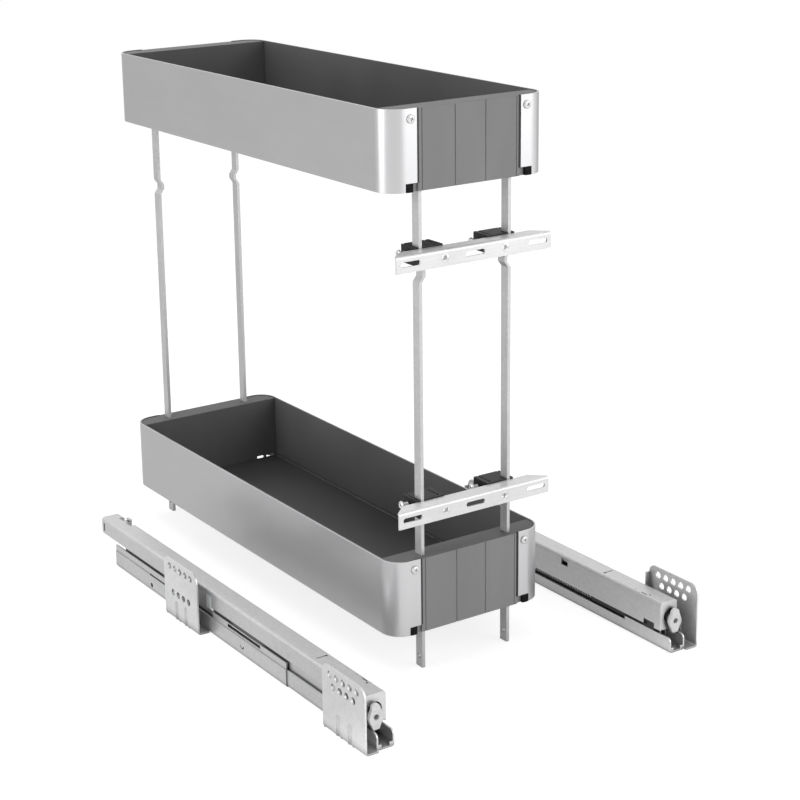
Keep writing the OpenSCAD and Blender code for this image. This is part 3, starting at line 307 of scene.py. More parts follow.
def plated_steel(name, colour, edge_wear_and_light, metallic, rough, flake=0.04, draw=None,
                 hollow_shade=(4 * MM, 0.5, 0.15, 0.85)):
    """Zinc plate: faint crystals, a slow cast, the drawing lines of the strip, painted shade in its
    recesses, and edges that are partly wear and partly painted light.
    """
    f = Finish(name, metallic)
    f.base(colour)
    slow = f.noise((22.0, 9.0, 22.0), detail=3.0)
    f.shade(f.span(f.flakes(420.0), 1.0 - flake, 1.0 + flake, 0.0, 1.0))
    f.shade(f.span(slow, 0.95, 1.04))
    lines = f.noise(draw or (900.0, 14.0, 900.0), detail=3.0)
    f.shade(f.span(lines, 0.97, 1.03))
    # Painted shade in recesses and gaps, from ambient occlusion
    f.paint_hollow_shade(*hollow_shade)
    f.soften(0.3 * MM, edge_wear_and_light)
    f.bump(lines, 0.01 * MM, 0.5)
    f.roughness(f.span(slow, rough - 0.05, rough + 0.07))
    return f.done()


def moulded(name, colour, edge_scuffs_and_light, rough, grain=2600.0, depth=0.02, edge=0.3 * MM,
            top=None, inner_shade=None, gloss=0.5):
    """Moulded plastic: a fine eroded grain, faint flow marks, and edges that are partly scuffed and
    partly painted light.

    Given a top colour, faces that look up take it as painted shade; given a colour for the faces
    that look towards the middle of a tray, those take it as painted shade.
    """
    f = Finish(name)
    f.shader.inputs["Specular IOR Level"].default_value = gloss
    f.base(colour)
    if top is not None:
        # Painted shade: faces that look up take the darker top colour
        f.blend(f.span(f.upward(), 0.0, 1.0, 0.8, 0.95), top)
    if inner_shade is not None:
        start, end = (BLOCK_HALF + step for step in BLOCK_SHADE_FADE)
        # Painted shade: the faces that look towards the tray's middle take that colour
        f.blend(f.span(f.from_middle(), 1.0, 0.0, start, end), inner_shade)
    fine = f.noise((grain,) * 3, detail=4.0, roughness=0.7)
    flow = f.noise((30.0, 30.0, 8.0), detail=2.0)
    f.shade(f.span(fine, 0.9, 1.1))
    f.shade(f.span(flow, 0.95, 1.05))
    f.soften(edge, edge_scuffs_and_light, 0.5)
    f.bump(fine, depth * MM, 0.7)
    f.roughness(f.span(fine, rough - 0.08, rough + 0.08))
    return f.done()


def paint(material, names):
    """Gives CAD nodes a material in every slot they have."""
    for name in names:
        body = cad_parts[name]
        if not body.material_slots:
            body.data.materials.append(material)
        for slot in body.material_slots:
            slot.material = material


# Meshes

# Points closer than MERGED become one, and a radius below ON_AXIS is a point on the axis
MERGED = 1e-7
ON_AXIS = 1e-9


def new_object(name, mesh):
    """An object at the origin, in the scene."""
    body = bpy.data.objects.new(name, mesh)
    bpy.context.scene.collection.objects.link(body)
    return body


def mesh_from(name, points, faces, smooth_angle=30.0):
    """A mesh with its faces turned outwards and its shallow edges smooth."""
    mesh = bpy.data.meshes.new(name)
    mesh.from_pydata([tuple(p) for p in points], [], faces)
    bm = bmesh.new()
    bm.from_mesh(mesh)
    bmesh.ops.remove_doubles(bm, verts=bm.verts, dist=MERGED)
    bmesh.ops.recalc_face_normals(bm, faces=bm.faces)
    limit = math.radians(smooth_angle)
    for face in bm.faces:
        face.smooth = True
    for edge in bm.edges:
        edge.smooth = len(edge.link_faces) == 2 and edge.calc_face_angle(math.pi) < limit
    bm.to_mesh(mesh)
    bm.free()
    return mesh


def lathe(name, profile, sides=40):
    """Turns a profile of (radius, height) points round the Z axis."""
    points, faces = [], []
    rings = []
    for radius, height in profile:
        if radius < ON_AXIS:
            rings.append([len(points)])
            points.append((0.0, 0.0, height))
        else:
            rings.append(range(len(points), len(points) + sides))
            for k in range(sides):
                a = 2 * math.pi * k / sides
                points.append((radius * math.cos(a), radius * math.sin(a), height))
    for low, high in zip(rings, rings[1:]):
        for k in range(sides):
            n = (k + 1) % sides
            if len(low) == 1:
                faces.append((low[0], high[k], high[n]))
            elif len(high) == 1:
                faces.append((low[k], high[0], low[n]))
            else:
                faces.append((low[k], high[k], high[n], low[n]))
    return mesh_from(name, points, faces)


def cross_cutter(top, depth, width, reach):
    """A tapered cross, the shape that a driver leaves in a screw's head."""
    points, faces = [], []
    for height, shrink in ((top + depth, 1.0), (top, 1.0), (top - depth, 0.62)):
        w, l = width / 2 * shrink, reach / 2 * shrink
        outline = [(w, w), (w, l), (-w, l), (-w, w), (-l, w), (-l, -w),
                   (-w, -w), (-w, -l), (w, -l), (w, -w), (l, -w), (l, w)]
        points += [(x, y, height) for x, y in outline]
    corners = len(outline)
    for ring in (0, corners):
        for k in range(corners):
            n = (k + 1) % corners
            faces.append((ring + k, ring + n, ring + corners + n, ring + corners + k))
    faces += [tuple(range(corners)), tuple(reversed(range(2 * corners, 3 * corners)))]
    return mesh_from("cross_cutter", points, faces)


def carve(mesh, cutter_mesh):
    """Cuts one mesh out of another and returns the result as a new mesh."""
    body, cutter = new_object("carved", mesh), new_object("cutter", cutter_mesh)
    step = body.modifiers.new("Recess", "BOOLEAN")
    step.operation, step.object, step.solver = "DIFFERENCE", cutter, "EXACT"
    bpy.context.view_layer.update()
    graph = bpy.context.evaluated_depsgraph_get()
    made = bpy.data.meshes.new_from_object(body.evaluated_get(graph))
    bpy.data.objects.remove(body)
    bpy.data.objects.remove(cutter)
    return made


def thread_profile(radius, length, pitch):
    """The turned profile of a threaded shank, tip first, up to height 0."""
    root = radius * 0.82
    profile = [(0.0, -length), (root * 0.6, -length + pitch * 0.2)]
    height = -length + pitch
    while height < -pitch:
        profile += [(root, height), (radius, height + pitch / 2)]
        height += pitch
    return profile + [(root, height), (root, 0.0)]


def pan_screw(head_d, head_h, shank_d, length, pitch):
    """A pan-head screw: its head stands on +Z and its seat is at the origin."""
    r = head_d / 2
    head = [(r * 0.97, 0.0), (r, head_h * 0.1), (r, head_h * 0.3)]
    for k in range(1, 8):
        a = math.pi / 2 * k / 8
        head.append((r * (0.35 + 0.65 * math.cos(a)), head_h * (0.3 + 0.7 * math.sin(a))))
    profile = thread_profile(shank_d / 2, length, pitch) + head + [(0.0, head_h)]
    return carve(lathe("pan_screw", profile),
                 cross_cutter(head_h, head_h * 0.55, head_d / 7, head_d * 0.55))


def flat_screw(head_d, head_h, shank_d, length, pitch):
    """A countersunk screw: the flat of its head is at the origin, facing +Z."""
    shank = [(x, z - head_h) for x, z in thread_profile(shank_d / 2, length - head_h, pitch)]
    head = [(head_d / 2 - 0.1 * MM, -0.15 * MM), (head_d / 2 - 0.05 * MM, -0.08 * MM),
            (head_d / 2 - 0.3 * MM, 0.0), (0.0, 0.0)]
    return carve(lathe("flat_screw", shank + head),
                 cross_cutter(0.0, head_h * 0.8, head_d / 8, head_d * 0.5))


def repeat_nodes():
    """A node group that sets one piece on every place, each turned a little about its own axis."""
    tree = bpy.data.node_groups.new("Repeat Piece", "GeometryNodeTree")
    sockets = {}
    for label, kind in (("Places", "Geometry"), ("Piece", "Object"), ("Most Turn", "Float"),
                        ("Seed", "Int"), ("Finish", "Material")):
        sockets[label] = tree.interface.new_socket(label, in_out="INPUT",
                                                   socket_type="NodeSocket" + kind)
    tree.interface.new_socket("Pieces", in_out="OUTPUT", socket_type="NodeSocketGeometry")
    add, link = tree.nodes.new, tree.links.new
    given, result = add("NodeGroupInput"), add("NodeGroupOutput")
    source = add("GeometryNodeObjectInfo")
    stored = add("GeometryNodeInputNamedAttribute")
    stored.data_type = "FLOAT_VECTOR"
    stored.inputs["Name"].default_value = "turn"
    aim = add("FunctionNodeEulerToRotation")
    chance = add("FunctionNodeRandomValue")
    chance.data_type = "FLOAT"
    spin = add("ShaderNodeCombineXYZ")
    spin_turn = add("FunctionNodeEulerToRotation")
    turned = add("FunctionNodeRotateRotation")
    turned.rotation_space = "LOCAL"
    instances = add("GeometryNodeInstanceOnPoints")
    real = add("GeometryNodeRealizeInstances")
    coat = add("GeometryNodeSetMaterial")
    link(given.outputs["Piece"], source.inputs["Object"])
    link(given.outputs["Most Turn"], chance.inputs[3])
    link(given.outputs["Seed"], chance.inputs["Seed"])
    link(chance.outputs[1], spin.inputs["Z"])
    link(spin.outputs["Vector"], spin_turn.inputs[0])
    link([o for o in stored.outputs if o.enabled][0], aim.inputs[0])
    link(aim.outputs[0], turned.inputs[0])
    link(spin_turn.outputs[0], turned.inputs[1])
    link(given.outputs["Places"], instances.inputs["Points"])
    link(source.outputs["Geometry"], instances.inputs["Instance"])
    link(turned.outputs[0], instances.inputs["Rotation"])
    link(instances.outputs["Instances"], real.inputs["Geometry"])
    link(real.outputs["Geometry"], coat.inputs["Geometry"])
    link(given.outputs["Finish"], coat.inputs["Material"])
    link(coat.outputs["Geometry"], result.inputs["Pieces"])
    return tree, sockets


def set_pieces(name, mesh, places, material, most_turn=0.0, seed=7):
    """One plain mesh that holds a copy of mesh at each (point, outward direction)."""
    spots = bpy.data.meshes.new(name + "_places")
    spots.from_pydata([tuple(point) for point, _ in places], [], [])
    turn = spots.attributes.new("turn", "FLOAT_VECTOR", "POINT")
    for k, (_, outward) in enumerate(places):
        turn.data[k].vector = Vector(outward).to_track_quat("Z", "Y").to_euler()
    holder, piece = new_object(name + "_holder", spots), new_object(name + "_piece", mesh)
    tree, sockets = repeat_nodes()
    step = holder.modifiers.new("Repeat Piece", "NODES")
    step.node_group = tree
    for label, value in (("Piece", piece), ("Most Turn", most_turn), ("Seed", seed),
                         ("Finish", material)):
        step[sockets[label].identifier] = value
    bpy.context.view_layer.update()
    graph = bpy.context.evaluated_depsgraph_get()
    made = bpy.data.meshes.new_from_object(holder.evaluated_get(graph))
    made.name = name
    holder.modifiers.remove(step)
    bpy.data.objects.remove(holder)
    bpy.data.objects.remove(piece)
    bpy.data.node_groups.remove(tree)
    if not made.materials or made.materials[0] is None:
        made.materials.clear()
        made.materials.append(material)
    return new_object(name, made)


def finish_piece(piece, body, slot, *nodes):
    """Lets a piece ride on its body in place of these CAD nodes."""
    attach(piece, body)
    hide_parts(*nodes)


# Settings


class TraySettings(bpy.types.PropertyGroup):
    """Colours of the trays' parts, and the edgings' width"""
    panel_colour: bpy.props.FloatVectorProperty(
        name="Panel Colour", description="Colour of the anodised side panels",
        size=3, subtype="COLOR", min=0, max=1, default=(0.56, 0.56, 0.568))
    panel_roughness: bpy.props.FloatProperty(
        name="Panel Roughness", description="How dull the side panels are",
        min=0.1, max=0.9, default=0.32, subtype="FACTOR")
    liner_colour: bpy.props.FloatVectorProperty(
        name="Liner Colour", description="Colour of the powder-coated liners",
        size=3, subtype="COLOR", min=0, max=1, default=(0.14, 0.14, 0.141))
    floor_colour: bpy.props.FloatVectorProperty(
        name="Floor Colour", description="Colour of the powder-coated floors",
        size=3, subtype="COLOR", min=0, max=1, default=(0.065, 0.065, 0.066))
    block_colour: bpy.props.FloatVectorProperty(
        name="End Block Colour", description="Colour of the moulded end blocks",
        size=3, subtype="COLOR", min=0, max=1, default=(0.355, 0.355, 0.36))
    # The end blocks' top faces are darkened with painted shade
    block_top_shade_colour: bpy.props.FloatVectorProperty(
        name="End Block Top Colour", description="Colour of the end blocks' top faces",
        size=3, subtype="COLOR", min=0, max=1, default=(0.16, 0.16, 0.163))
    black_colour: bpy.props.FloatVectorProperty(
        name="Clamp Colour", description="Colour of the clamps and corner clips",
        size=3, subtype="COLOR", min=0, max=1, default=(0.01, 0.01, 0.01))
    seal_width: bpy.props.FloatProperty(
        name="Edge Seal Width", description="Width of the black edging beside a panel",
        min=0.0008, max=0.0025, default=0.002, subtype="DISTANCE", unit="LENGTH")


class SteelSettings(bpy.types.PropertyGroup):
    """Colours of the bars, door brackets and runners"""
    bar_colour: bpy.props.FloatVectorProperty(
        name="Bar Colour", description="Colour of the flat bars",
        size=3, subtype="COLOR", min=0, max=1, default=(0.62, 0.62, 0.62))
    bracket_colour: bpy.props.FloatVectorProperty(
        name="Door Bracket Colour", description="Colour of the bright door brackets",
        size=3, subtype="COLOR", min=0, max=1, default=(0.88, 0.88, 0.88))
    rail_colour: bpy.props.FloatVectorProperty(
        name="Rail Colour", description="Colour of the runners' rails",
        size=3, subtype="COLOR", min=0, max=1, default=(0.65, 0.65, 0.655))
    plate_colour: bpy.props.FloatVectorProperty(
        name="Wall Bracket Colour", description="Colour of the runners' wall brackets",
        size=3, subtype="COLOR", min=0, max=1, default=(0.8, 0.8, 0.805))
    cage_colour: bpy.props.FloatVectorProperty(
        name="Cage Colour", description="Colour of the roller cages",
        size=3, subtype="COLOR", min=0, max=1, default=(0.92, 0.92, 0.90))


class FixingSettings(bpy.types.PropertyGroup):
    """Sizes of the screws"""
    head_d: bpy.props.FloatProperty(
        name="Head Diameter", description="Diameter of a pan head",
        min=0.005, max=0.0072, default=0.0072, subtype="DISTANCE", unit="LENGTH")
    head_h: bpy.props.FloatProperty(
        name="Head Height", description="Height of a pan head",
        min=0.001, max=0.002, default=0.002, subtype="DISTANCE", unit="LENGTH")
    sunk_d: bpy.props.FloatProperty(
        name="Countersunk Diameter", description="Diameter of a countersunk head",
        min=0.006, max=0.008, default=0.008, subtype="DISTANCE", unit="LENGTH")
    shank_d: bpy.props.FloatProperty(
        name="Thread Diameter", description="Diameter over the thread",
        min=0.003, max=0.0038, default=0.0038, subtype="DISTANCE", unit="LENGTH")
    pitch: bpy.props.FloatProperty(
        name="Thread Pitch", description="Rise of one turn of the thread",
        min=0.0005, max=0.0015, default=0.0009, subtype="DISTANCE", unit="LENGTH")


class SpringSettings(bpy.types.PropertyGroup):
    """Sizes of the closing springs"""
    wire_d: bpy.props.FloatProperty(
        name="Wire", description="Wire diameter of the closing springs",
        min=0.0005, max=0.0009, default=0.0009, subtype="DISTANCE", unit="LENGTH")
    coils: bpy.props.IntProperty(
        name="Coils", description="Turns of each closing spring", min=10, max=40, default=30)


class StageSettings(bpy.types.PropertyGroup):
    """Lamps, ambient light and lens"""
    ambient: bpy.props.FloatProperty(
        name="Ambient Light", description="Light that reaches the kit from all round",
        min=0, max=2, default=0.4)
    key_power: bpy.props.FloatProperty(
        name="Key Light", description="Power of the large lamp in front",
        min=0, max=200, default=15.5, subtype="POWER", unit="POWER")
    side_power: bpy.props.FloatProperty(
        name="Side Light", description="Power of the upright lamp to the left",
        min=0, max=200, default=13.0, subtype="POWER", unit="POWER")
    top_power: bpy.props.FloatProperty(
        name="Top Light", description="Power of the lamp overhead",
        min=0, max=200, default=12.0, subtype="POWER", unit="POWER")
    lens: bpy.props.FloatProperty(
        name="Lens", description="Focal length in millimetres on a 36 mm sensor",
        min=20, max=300, default=84.94)


# Operators


class BASKET_OT_tray_panels(bpy.types.Operator):
    """Finish the trays' side panels as satin anodised aluminium"""
    bl_idname = "basket.tray_panels"
    bl_label = "Tray Panels"

    def execute(self, context):
        s = context.scene.basket_trays
        metal = sheet_metal("Satin Aluminium", s.panel_colour, edge_wear_and_light=(0.85, 0.85, 0.86),
                            grain=(2200.0, 12.0, 2200.0), metallic=0.85,
                            rough=s.panel_roughness, lines=0.015, cloud=0.02)
        paint(metal, node_names("_panel"))
        return {"FINISHED"}


class BASKET_OT_liners(bpy.types.Operator):
    """Finish the liners and the floors as dark powder-coated sheet"""
    bl_idname = "basket.liners"
    bl_label = "Liners and Floors"

    def execute(self, context):
        s = context.scene.basket_trays
        paint(self.coat("Liner Powder Coat", s.liner_colour, edge=0.3 * MM, edge_wear_and_light=0.2,
                        corner_shade=2.5 * MM), node_names("_liner"))
        paint(self.coat("Floor Powder Coat", s.floor_colour, edge=1.1 * MM, edge_wear_and_light=0.5),
              node_names("_floor"))
        return {"FINISHED"}

    def coat(self, name, colour, edge, edge_wear_and_light, corner_shade=None):
        """Powder coat with orange peel, edges partly rubbed and partly painted light, painted shade
        in corners when a reach for it is given, and black free ends that are painted shade of the
        gaps they sit in.
        """
        f = Finish(name)
        f.base(colour)
        peel = f.noise((1100.0,) * 3, detail=3.0)
        slow = f.noise((9.0,) * 3, detail=2.0)
        f.shade(f.span(peel, 0.9, 1.12))
        f.shade(f.span(slow, 0.92, 1.08))
        # Painted shade in the corners against the end blocks, from ambient occlusion
        if corner_shade is not None:
            f.paint_hollow_shade(corner_shade, 0.3, 0.5, 0.85)
        f.soften(edge, (edge_wear_and_light, edge_wear_and_light, edge_wear_and_light), 0.5)
        # The free ends turn black: painted shade of the gap between panel and end block
        start = TRAY_HALF - LINER_GAP_SHADE_START
        f.blend(f.span(f.from_middle(), 0.0, 1.0, start, start + LINER_GAP_SHADE_FADE), (0.008, 0.008, 0.008))
        f.bump(peel, 0.03 * MM, 0.8)
        f.roughness(f.span(slow, 0.42, 0.58))
        return f.done()


class BASKET_OT_end_blocks(bpy.types.Operator):
    """Finish the moulded end blocks"""
    bl_idname = "basket.end_blocks"
    bl_label = "End Blocks"

    def execute(self, context):
        s = context.scene.basket_trays
        # Painted shade: the blocks' top faces take the darker top colour, and their faces towards
        # the tray's middle take the liner colour
        grey = moulded("Grey Moulding", s.block_colour, edge_scuffs_and_light=(0.36, 0.36, 0.365), rough=0.52,
                       top=s.block_top_shade_colour, inner_shade=s.liner_colour, gloss=0.25)
        paint(grey, node_names("_block"))
        return {"FINISHED"}


class BASKET_OT_clamps(bpy.types.Operator):
    """Finish the clamps and the corner clips"""
    bl_idname = "basket.clamps"
    bl_label = "Clamps and Clips"

    def execute(self, context):
        s = context.scene.basket_trays
        # The clamps' pale edges are partly scuffs and mostly a painted edge highlight
        paint(moulded("Black Moulding", s.black_colour, edge_scuffs_and_light=(0.34, 0.34, 0.34), rough=0.5,
                      grain=3200.0, depth=0.015, edge=0.6 * MM, gloss=0.3), node_names("_clamp"))
        paint(moulded("Black Clip", s.black_colour, edge_scuffs_and_light=(0.04, 0.04, 0.04), rough=0.6,
                      grain=3200.0, depth=0.015, gloss=0.1), node_names("corner_clips"))
        return {"FINISHED"}


class BASKET_OT_edge_seals(bpy.types.Operator):
    """Make the black edgings between the side panels and the end blocks"""
    bl_idname = "basket.edge_seals"
    bl_label = "Edge Seals"

    def execute(self, context):
        s = context.scene.basket_trays
        w, d, n = s.seal_width / 2, SEAL_HALF_DEPTH, SEAL_SIDES
        length = TRAY_RIM["upper"] - TRAY_FOOT["upper"] - SEAL_FOOT - SEAL_TOP_GAP
        outline = []
        for k in range(n):
            a = 2 * math.pi * (k + 0.5) / n
            outline.append((w * self.squared(math.cos(a)), d * self.squared(math.sin(a))))
        points = [(x, y, z) for z in (0.0, length) for x, y in outline]
        faces = [(k, (k + 1) % n, n + (k + 1) % n, n + k) for k in range(n)]
        faces += [tuple(range(n)), tuple(range(n, 2 * n))]
        places = [((side * (FLANGE_EDGE - w), y, TRAY_FOOT[level] + SEAL_FOOT), (0, 0, 1))
                  for level in LEVELS for side in (-1, 1)
                  for y in (TRAY_FRONT + SEAL_SETBACK + d, TRAY_REAR - SEAL_SETBACK - d)]
        rubber = moulded("Black Rubber", s.black_colour, edge_scuffs_and_light=(0.05, 0.05, 0.05), rough=0.6)
        seals = set_pieces("Edge_Seals", mesh_from("seal", points, faces, 40.0), places, rubber)
        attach(seals, "basket")
        return {"FINISHED"}

    def squared(self, value):
        """Pushes a circle's coordinate outwards, towards a square with round corners."""
        return math.copysign(abs(value) ** 0.45, value)


class BASKET_OT_flat_bars(bpy.types.Operator):
    """Finish the four flat bars as drawn, zinc-plated strip"""
    bl_idname = "basket.flat_bars"
    bl_label = "Flat Bars"

    def execute(self, context):
        s = context.scene.basket_steel
        paint(plated_steel("Drawn Strip", s.bar_colour, edge_wear_and_light=(0.8, 0.8, 0.8), metallic=0.55,
                           rough=0.46, draw=(1100.0, 1100.0, 9.0)), node_names("_bar"))
        return {"FINISHED"}


class BASKET_OT_door_brackets(bpy.types.Operator):
    """Finish the door brackets as bright zinc plate"""
    bl_idname = "basket.door_brackets"
    bl_label = "Door Brackets"

    def execute(self, context):
        s = context.scene.basket_steel
        paint(plated_steel("Bright Zinc", s.bracket_colour, edge_wear_and_light=(0.97, 0.97, 0.97), metallic=0.35,
                           rough=0.3, flake=0.02, draw=(14.0, 800.0, 800.0)),
              node_names("_door_bracket"))
        return {"FINISHED"}


class BASKET_OT_runner_steel(bpy.types.Operator):
    """Finish the runners' rails, housings, cams and wall brackets"""
    bl_idname = "basket.runner_steel"
    bl_label = "Runner Steel"

    def execute(self, context):
        s = context.scene.basket_steel
        # The rails' gaps and channel insides are darkened with painted shade
        rails = plated_steel("Rolled Zinc Steel", s.rail_colour, edge_wear_and_light=(0.85, 0.85, 0.85),
                             metallic=0.75, rough=0.36, hollow_shade=(6 * MM, 0.2, 0.35, 0.92))
        paint(rails, node_names("_cabinet_rail", "_drawer_rail", "_middle_rail", "_front_housing"))
        # The wall brackets' grooves and their faces towards the rails are darkened with painted
        # shade
        plates = plated_steel("Pressed Zinc Steel", s.plate_colour, edge_wear_and_light=(0.93, 0.93, 0.93),
                              metallic=0.7, rough=0.34, draw=(700.0, 20.0, 20.0),
                              hollow_shade=(9 * MM, 0.35, 0.45, 0.97))
        paint(plates, node_names("_front_bracket", "_rear_bracket"))
        cams = plated_steel("Cast Zinc", (0.85, 0.85, 0.855), edge_wear_and_light=(0.95, 0.95, 0.95),
                            metallic=0.25, rough=0.4, flake=0.07, draw=(500.0, 500.0, 500.0))
        paint(cams, node_names("_locking_cam"))
        return {"FINISHED"}


class BASKET_OT_runner_plastics(bpy.types.Operator):
    """Finish the cages, the closing carriages, the catches and the dampers"""
    bl_idname = "basket.runner_plastics"
    bl_label = "Runner Plastics"

    def execute(self, context):
        s, t = context.scene.basket_steel, context.scene.basket_trays
        cage = moulded("Natural Acetal", s.cage_colour, edge_scuffs_and_light=(0.85, 0.85, 0.83), rough=0.4,
                       grain=1800.0, depth=0.01)
        cage.node_tree.nodes["Principled BSDF"].inputs["Subsurface Weight"].default_value = 0.15
        paint(cage, node_names("_cage"))
        paint(moulded("Runner Black", t.black_colour, edge_scuffs_and_light=(0.09, 0.09, 0.09), rough=0.4),
              node_names("_closing_carriage", "_release_catch", "_damper"))
        return {"FINISHED"}


class BASKET_OT_screws(bpy.types.Operator):
    """Make the cross-recess screws of the trays, the door brackets and the clamps"""
    bl_idname = "basket.screws"
    bl_label = "Screws"

    def execute(self, context):
        s = context.scene.basket_fixings
        # The screws' darker edges are painted shade in the gap round each head, with some grime
        zinc = plated_steel("Screw Zinc", (0.75, 0.75, 0.75), edge_wear_and_light=(0.2, 0.2, 0.2),
                            metallic=0.6, rough=0.3, flake=0.03, draw=(600.0, 600.0, 600.0))
        panel = pan_screw(s.head_d, s.head_h, s.shank_d, PANEL_SCREW_L, s.pitch)
        places = [((side * PANEL_SCREW_X, y, TRAY_RIM[level] - PANEL_SCREW_DROP), (0, facing, 0))
                  for level in LEVELS for side in (-1, 1)
                  for y, facing in ((TRAY_FRONT, -1), (TRAY_REAR, 1))]
        finish_piece(set_pieces("Tray_Screws", panel, places, zinc, most_turn=1.5, seed=3),
                     "basket", "bright_zinc", "panel_screws")

        sunk = flat_screw(s.sunk_d, SUNK_HEAD_H, s.shank_d, BRACKET_SCREW_L, s.pitch)
        places = []
        for level in LEVELS:
            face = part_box(level + "_door_bracket")[0]
            places += [((side * BRACKET_SCREW_X, face.y, face.z + BRACKET_SCREW_Z), (0, -1, 0))
                       for side in (-1, 1)]
        finish_piece(set_pieces("Bracket_Screws", sunk, places, zinc, most_turn=1.5, seed=5),
                     "basket", "bright_zinc", "bracket_screws")

        cross = pan_screw(s.head_d, s.head_h, s.shank_d, CLAMP_SCREW_L, s.pitch)
        places = []
        for level in LEVELS:
            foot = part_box(level + "_door_bracket")[0].z
            for side in SIDES:
                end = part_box(f"{level}_{side}_clamp")[0].x
                places.append(((end - CLAMP_SCREW_STAND, TRAY_FRONT + CLAMP_SCREW_Y,
                                foot + CLAMP_SCREW_Z), (-1, 0, 0)))
        finish_piece(set_pieces("Clamp_Screws", cross, places, zinc, most_turn=1.5, seed=9),
                     "basket", "bright_zinc", "clamp_screws")
        return {"FINISHED"}


class BASKET_OT_rivets(bpy.types.Operator):
    """Make the domed rivets that hold the wall brackets to the cabinet rails"""
    bl_idname = "basket.rivets"
    bl_label = "Rivets"

    def execute(self, context):
        steel = plated_steel("Rivet Steel", (0.6, 0.6, 0.6), edge_wear_and_light=(0.9, 0.9, 0.9),
                             metallic=0.7, rough=0.32, draw=(500.0, 500.0, 500.0))
        r, h = RIVET_HEAD_R, RIVET_HEAD_H
        profile = [(0.0, -RIVET_SHANK_L), (RIVET_SHANK_R, -RIVET_SHANK_L), (RIVET_SHANK_R, 0.0),
                   (r * 0.96, 0.0)]
        profile += [(r * math.cos(a), h * (0.25 + 0.75 * math.sin(a)))
                    for a in (math.pi / 2 * k / 7 for k in range(7))] + [(0.0, h)]
        places = []
        for side, sign in (("left", -1), ("right", 1)):
            for end in ("front", "rear"):
                low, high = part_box(f"{side}_{end}_bracket")
                # The bracket's tab lies against the rail, with two rivets at its middle
                x = sign * (min(abs(low.x), abs(high.x)) + BRACKET_SHEET)
                middle, step = (low.y + high.y) / 2, (high.y - low.y) / 12
                places += [((x, middle + k * step, RIVET_Z), (sign, 0, 0)) for k in (-1, 1)]
        rivets = set_pieces("Bracket_Rivets", lathe("rivet", profile), places, steel,
                            most_turn=6.0, seed=11)
        finish_piece(rivets, "root", "zinc_steel", "bracket_rivets")
        return {"FINISHED"}


class BASKET_OT_rollers(bpy.types.Operator):
    """Make the ground steel rollers in the cages"""
    bl_idname = "basket.rollers"
    bl_label = "Rollers"

    def execute(self, context):
        steel = sheet_metal("Ground Steel", (0.62, 0.62, 0.63), edge_wear_and_light=(0.9, 0.9, 0.9),
                            grain=(60.0, 2500.0, 2500.0), metallic=0.9, rough=0.22,
                            lines=0.04, cloud=0.02)
        for side in SIDES:
            for level in LEVELS:
                node = f"{side}_{level}_rollers"
                low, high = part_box(node)
                middle = (low + high) / 2
                r, half = (high.z - low.z) / 2, (high.x - low.x) / 2
                pitch = ROLLER_PITCH[level] * 2 * r
                # A chamfer at the rim and a dished centre on both ends
                c = r * 0.14
                profile = [(0.0, -half + c), (r * 0.35, -half + c), (r * 0.42, -half),
                           (r - c, -half), (r, -half + c), (r, half - c), (r - c, half),
                           (r * 0.42, half), (r * 0.35, half - c), (0.0, half - c)]
                ys = [low.y + r + k * pitch for k in range(ROLLERS_PER_GROUP)]
                ys += [high.y - r - k * pitch for k in range(ROLLERS_PER_GROUP)]
                rollers = set_pieces(f"{side.title()}_{level.title()}_Rollers",
                                     lathe("roller", profile, 32),
                                     [((middle.x, y, middle.z), (1, 0, 0)) for y in ys], steel,
                                     most_turn=6.0, seed=13)
                finish_piece(rollers, f"{side}_{level}_rollers_set", "zinc_steel", node)
        return {"FINISHED"}


class BASKET_OT_closing_springs(bpy.types.Operator):
    """Wind the closing springs from round wire"""
    bl_idname = "basket.closing_springs"
    bl_label = "Closing Springs"

    def execute(self, context):
        s = context.scene.basket_springs
        wire = sheet_metal("Spring Wire", (0.9, 0.9, 0.9), edge_wear_and_light=(0.95, 0.95, 0.95),
                           grain=(900.0, 900.0, 900.0), metallic=0.4, rough=0.35,
                           lines=0.04, cloud=0.03)
        for side in SIDES:
            node = side + "_closing_spring"
            low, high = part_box(node)
            centre = (low + high) / 2
            coil = (high.x - low.x - s.wire_d) / 2
            path = self.winding(centre, coil, low.y, high.y, s.coils, lead=s.wire_d)
            spring = new_object(side.title() + "_Closing_Spring",
                                self.wire_mesh(path, centre, s.wire_d / 2))
            spring.data.materials.append(wire)
            finish_piece(spring, side + "_drawer", "bright_zinc", node)
        return {"FINISHED"}

    def winding(self, centre, coil, start, end, turns, lead, steps=20):
        """Points along a helix round the Y axis through centre, with a lead at each end."""
        total = turns * steps
        rise = end - start - 2 * lead
        path = [Vector((centre.x + coil, start, centre.z))]
        for k in range(total + 1):
            a = 2 * math.pi * k / steps
            path.append(Vector((centre.x + coil * math.cos(a), start + lead + rise * k / total,
                                centre.z + coil * math.sin(a))))
        return path + [Vector((centre.x + coil, end, centre.z))]

    def wire_mesh(self, path, centre, r, sides=10):
        """A closed round wire of radius r along the path."""
        last = len(path) - 1
        points, faces = [], []
        for k, point in enumerate(path):
            ahead = path[min(k + 1, last)] - path[max(k - 1, 0)]
            if k in (0, last):
                ahead = Vector((0, 1, 0))
            ahead.normalize()
            out = Vector((point.x - centre.x, 0, point.z - centre.z))
            out = (out - out.dot(ahead) * ahead).normalized()
            across = ahead.cross(out)
            for n in range(sides):
                a = 2 * math.pi * n / sides
                points.append(point + r * (math.cos(a) * out + math.sin(a) * across))
        for k in range(last):
            for n in range(sides):
                near, m = k * sides, (n + 1) % sides
                faces.append((near + n, near + m, near + sides + m, near + sides + n))
        faces += [tuple(range(sides)), tuple(range(last * sides, (last + 1) * sides))]
        return mesh_from("spring", points, faces, 60.0)


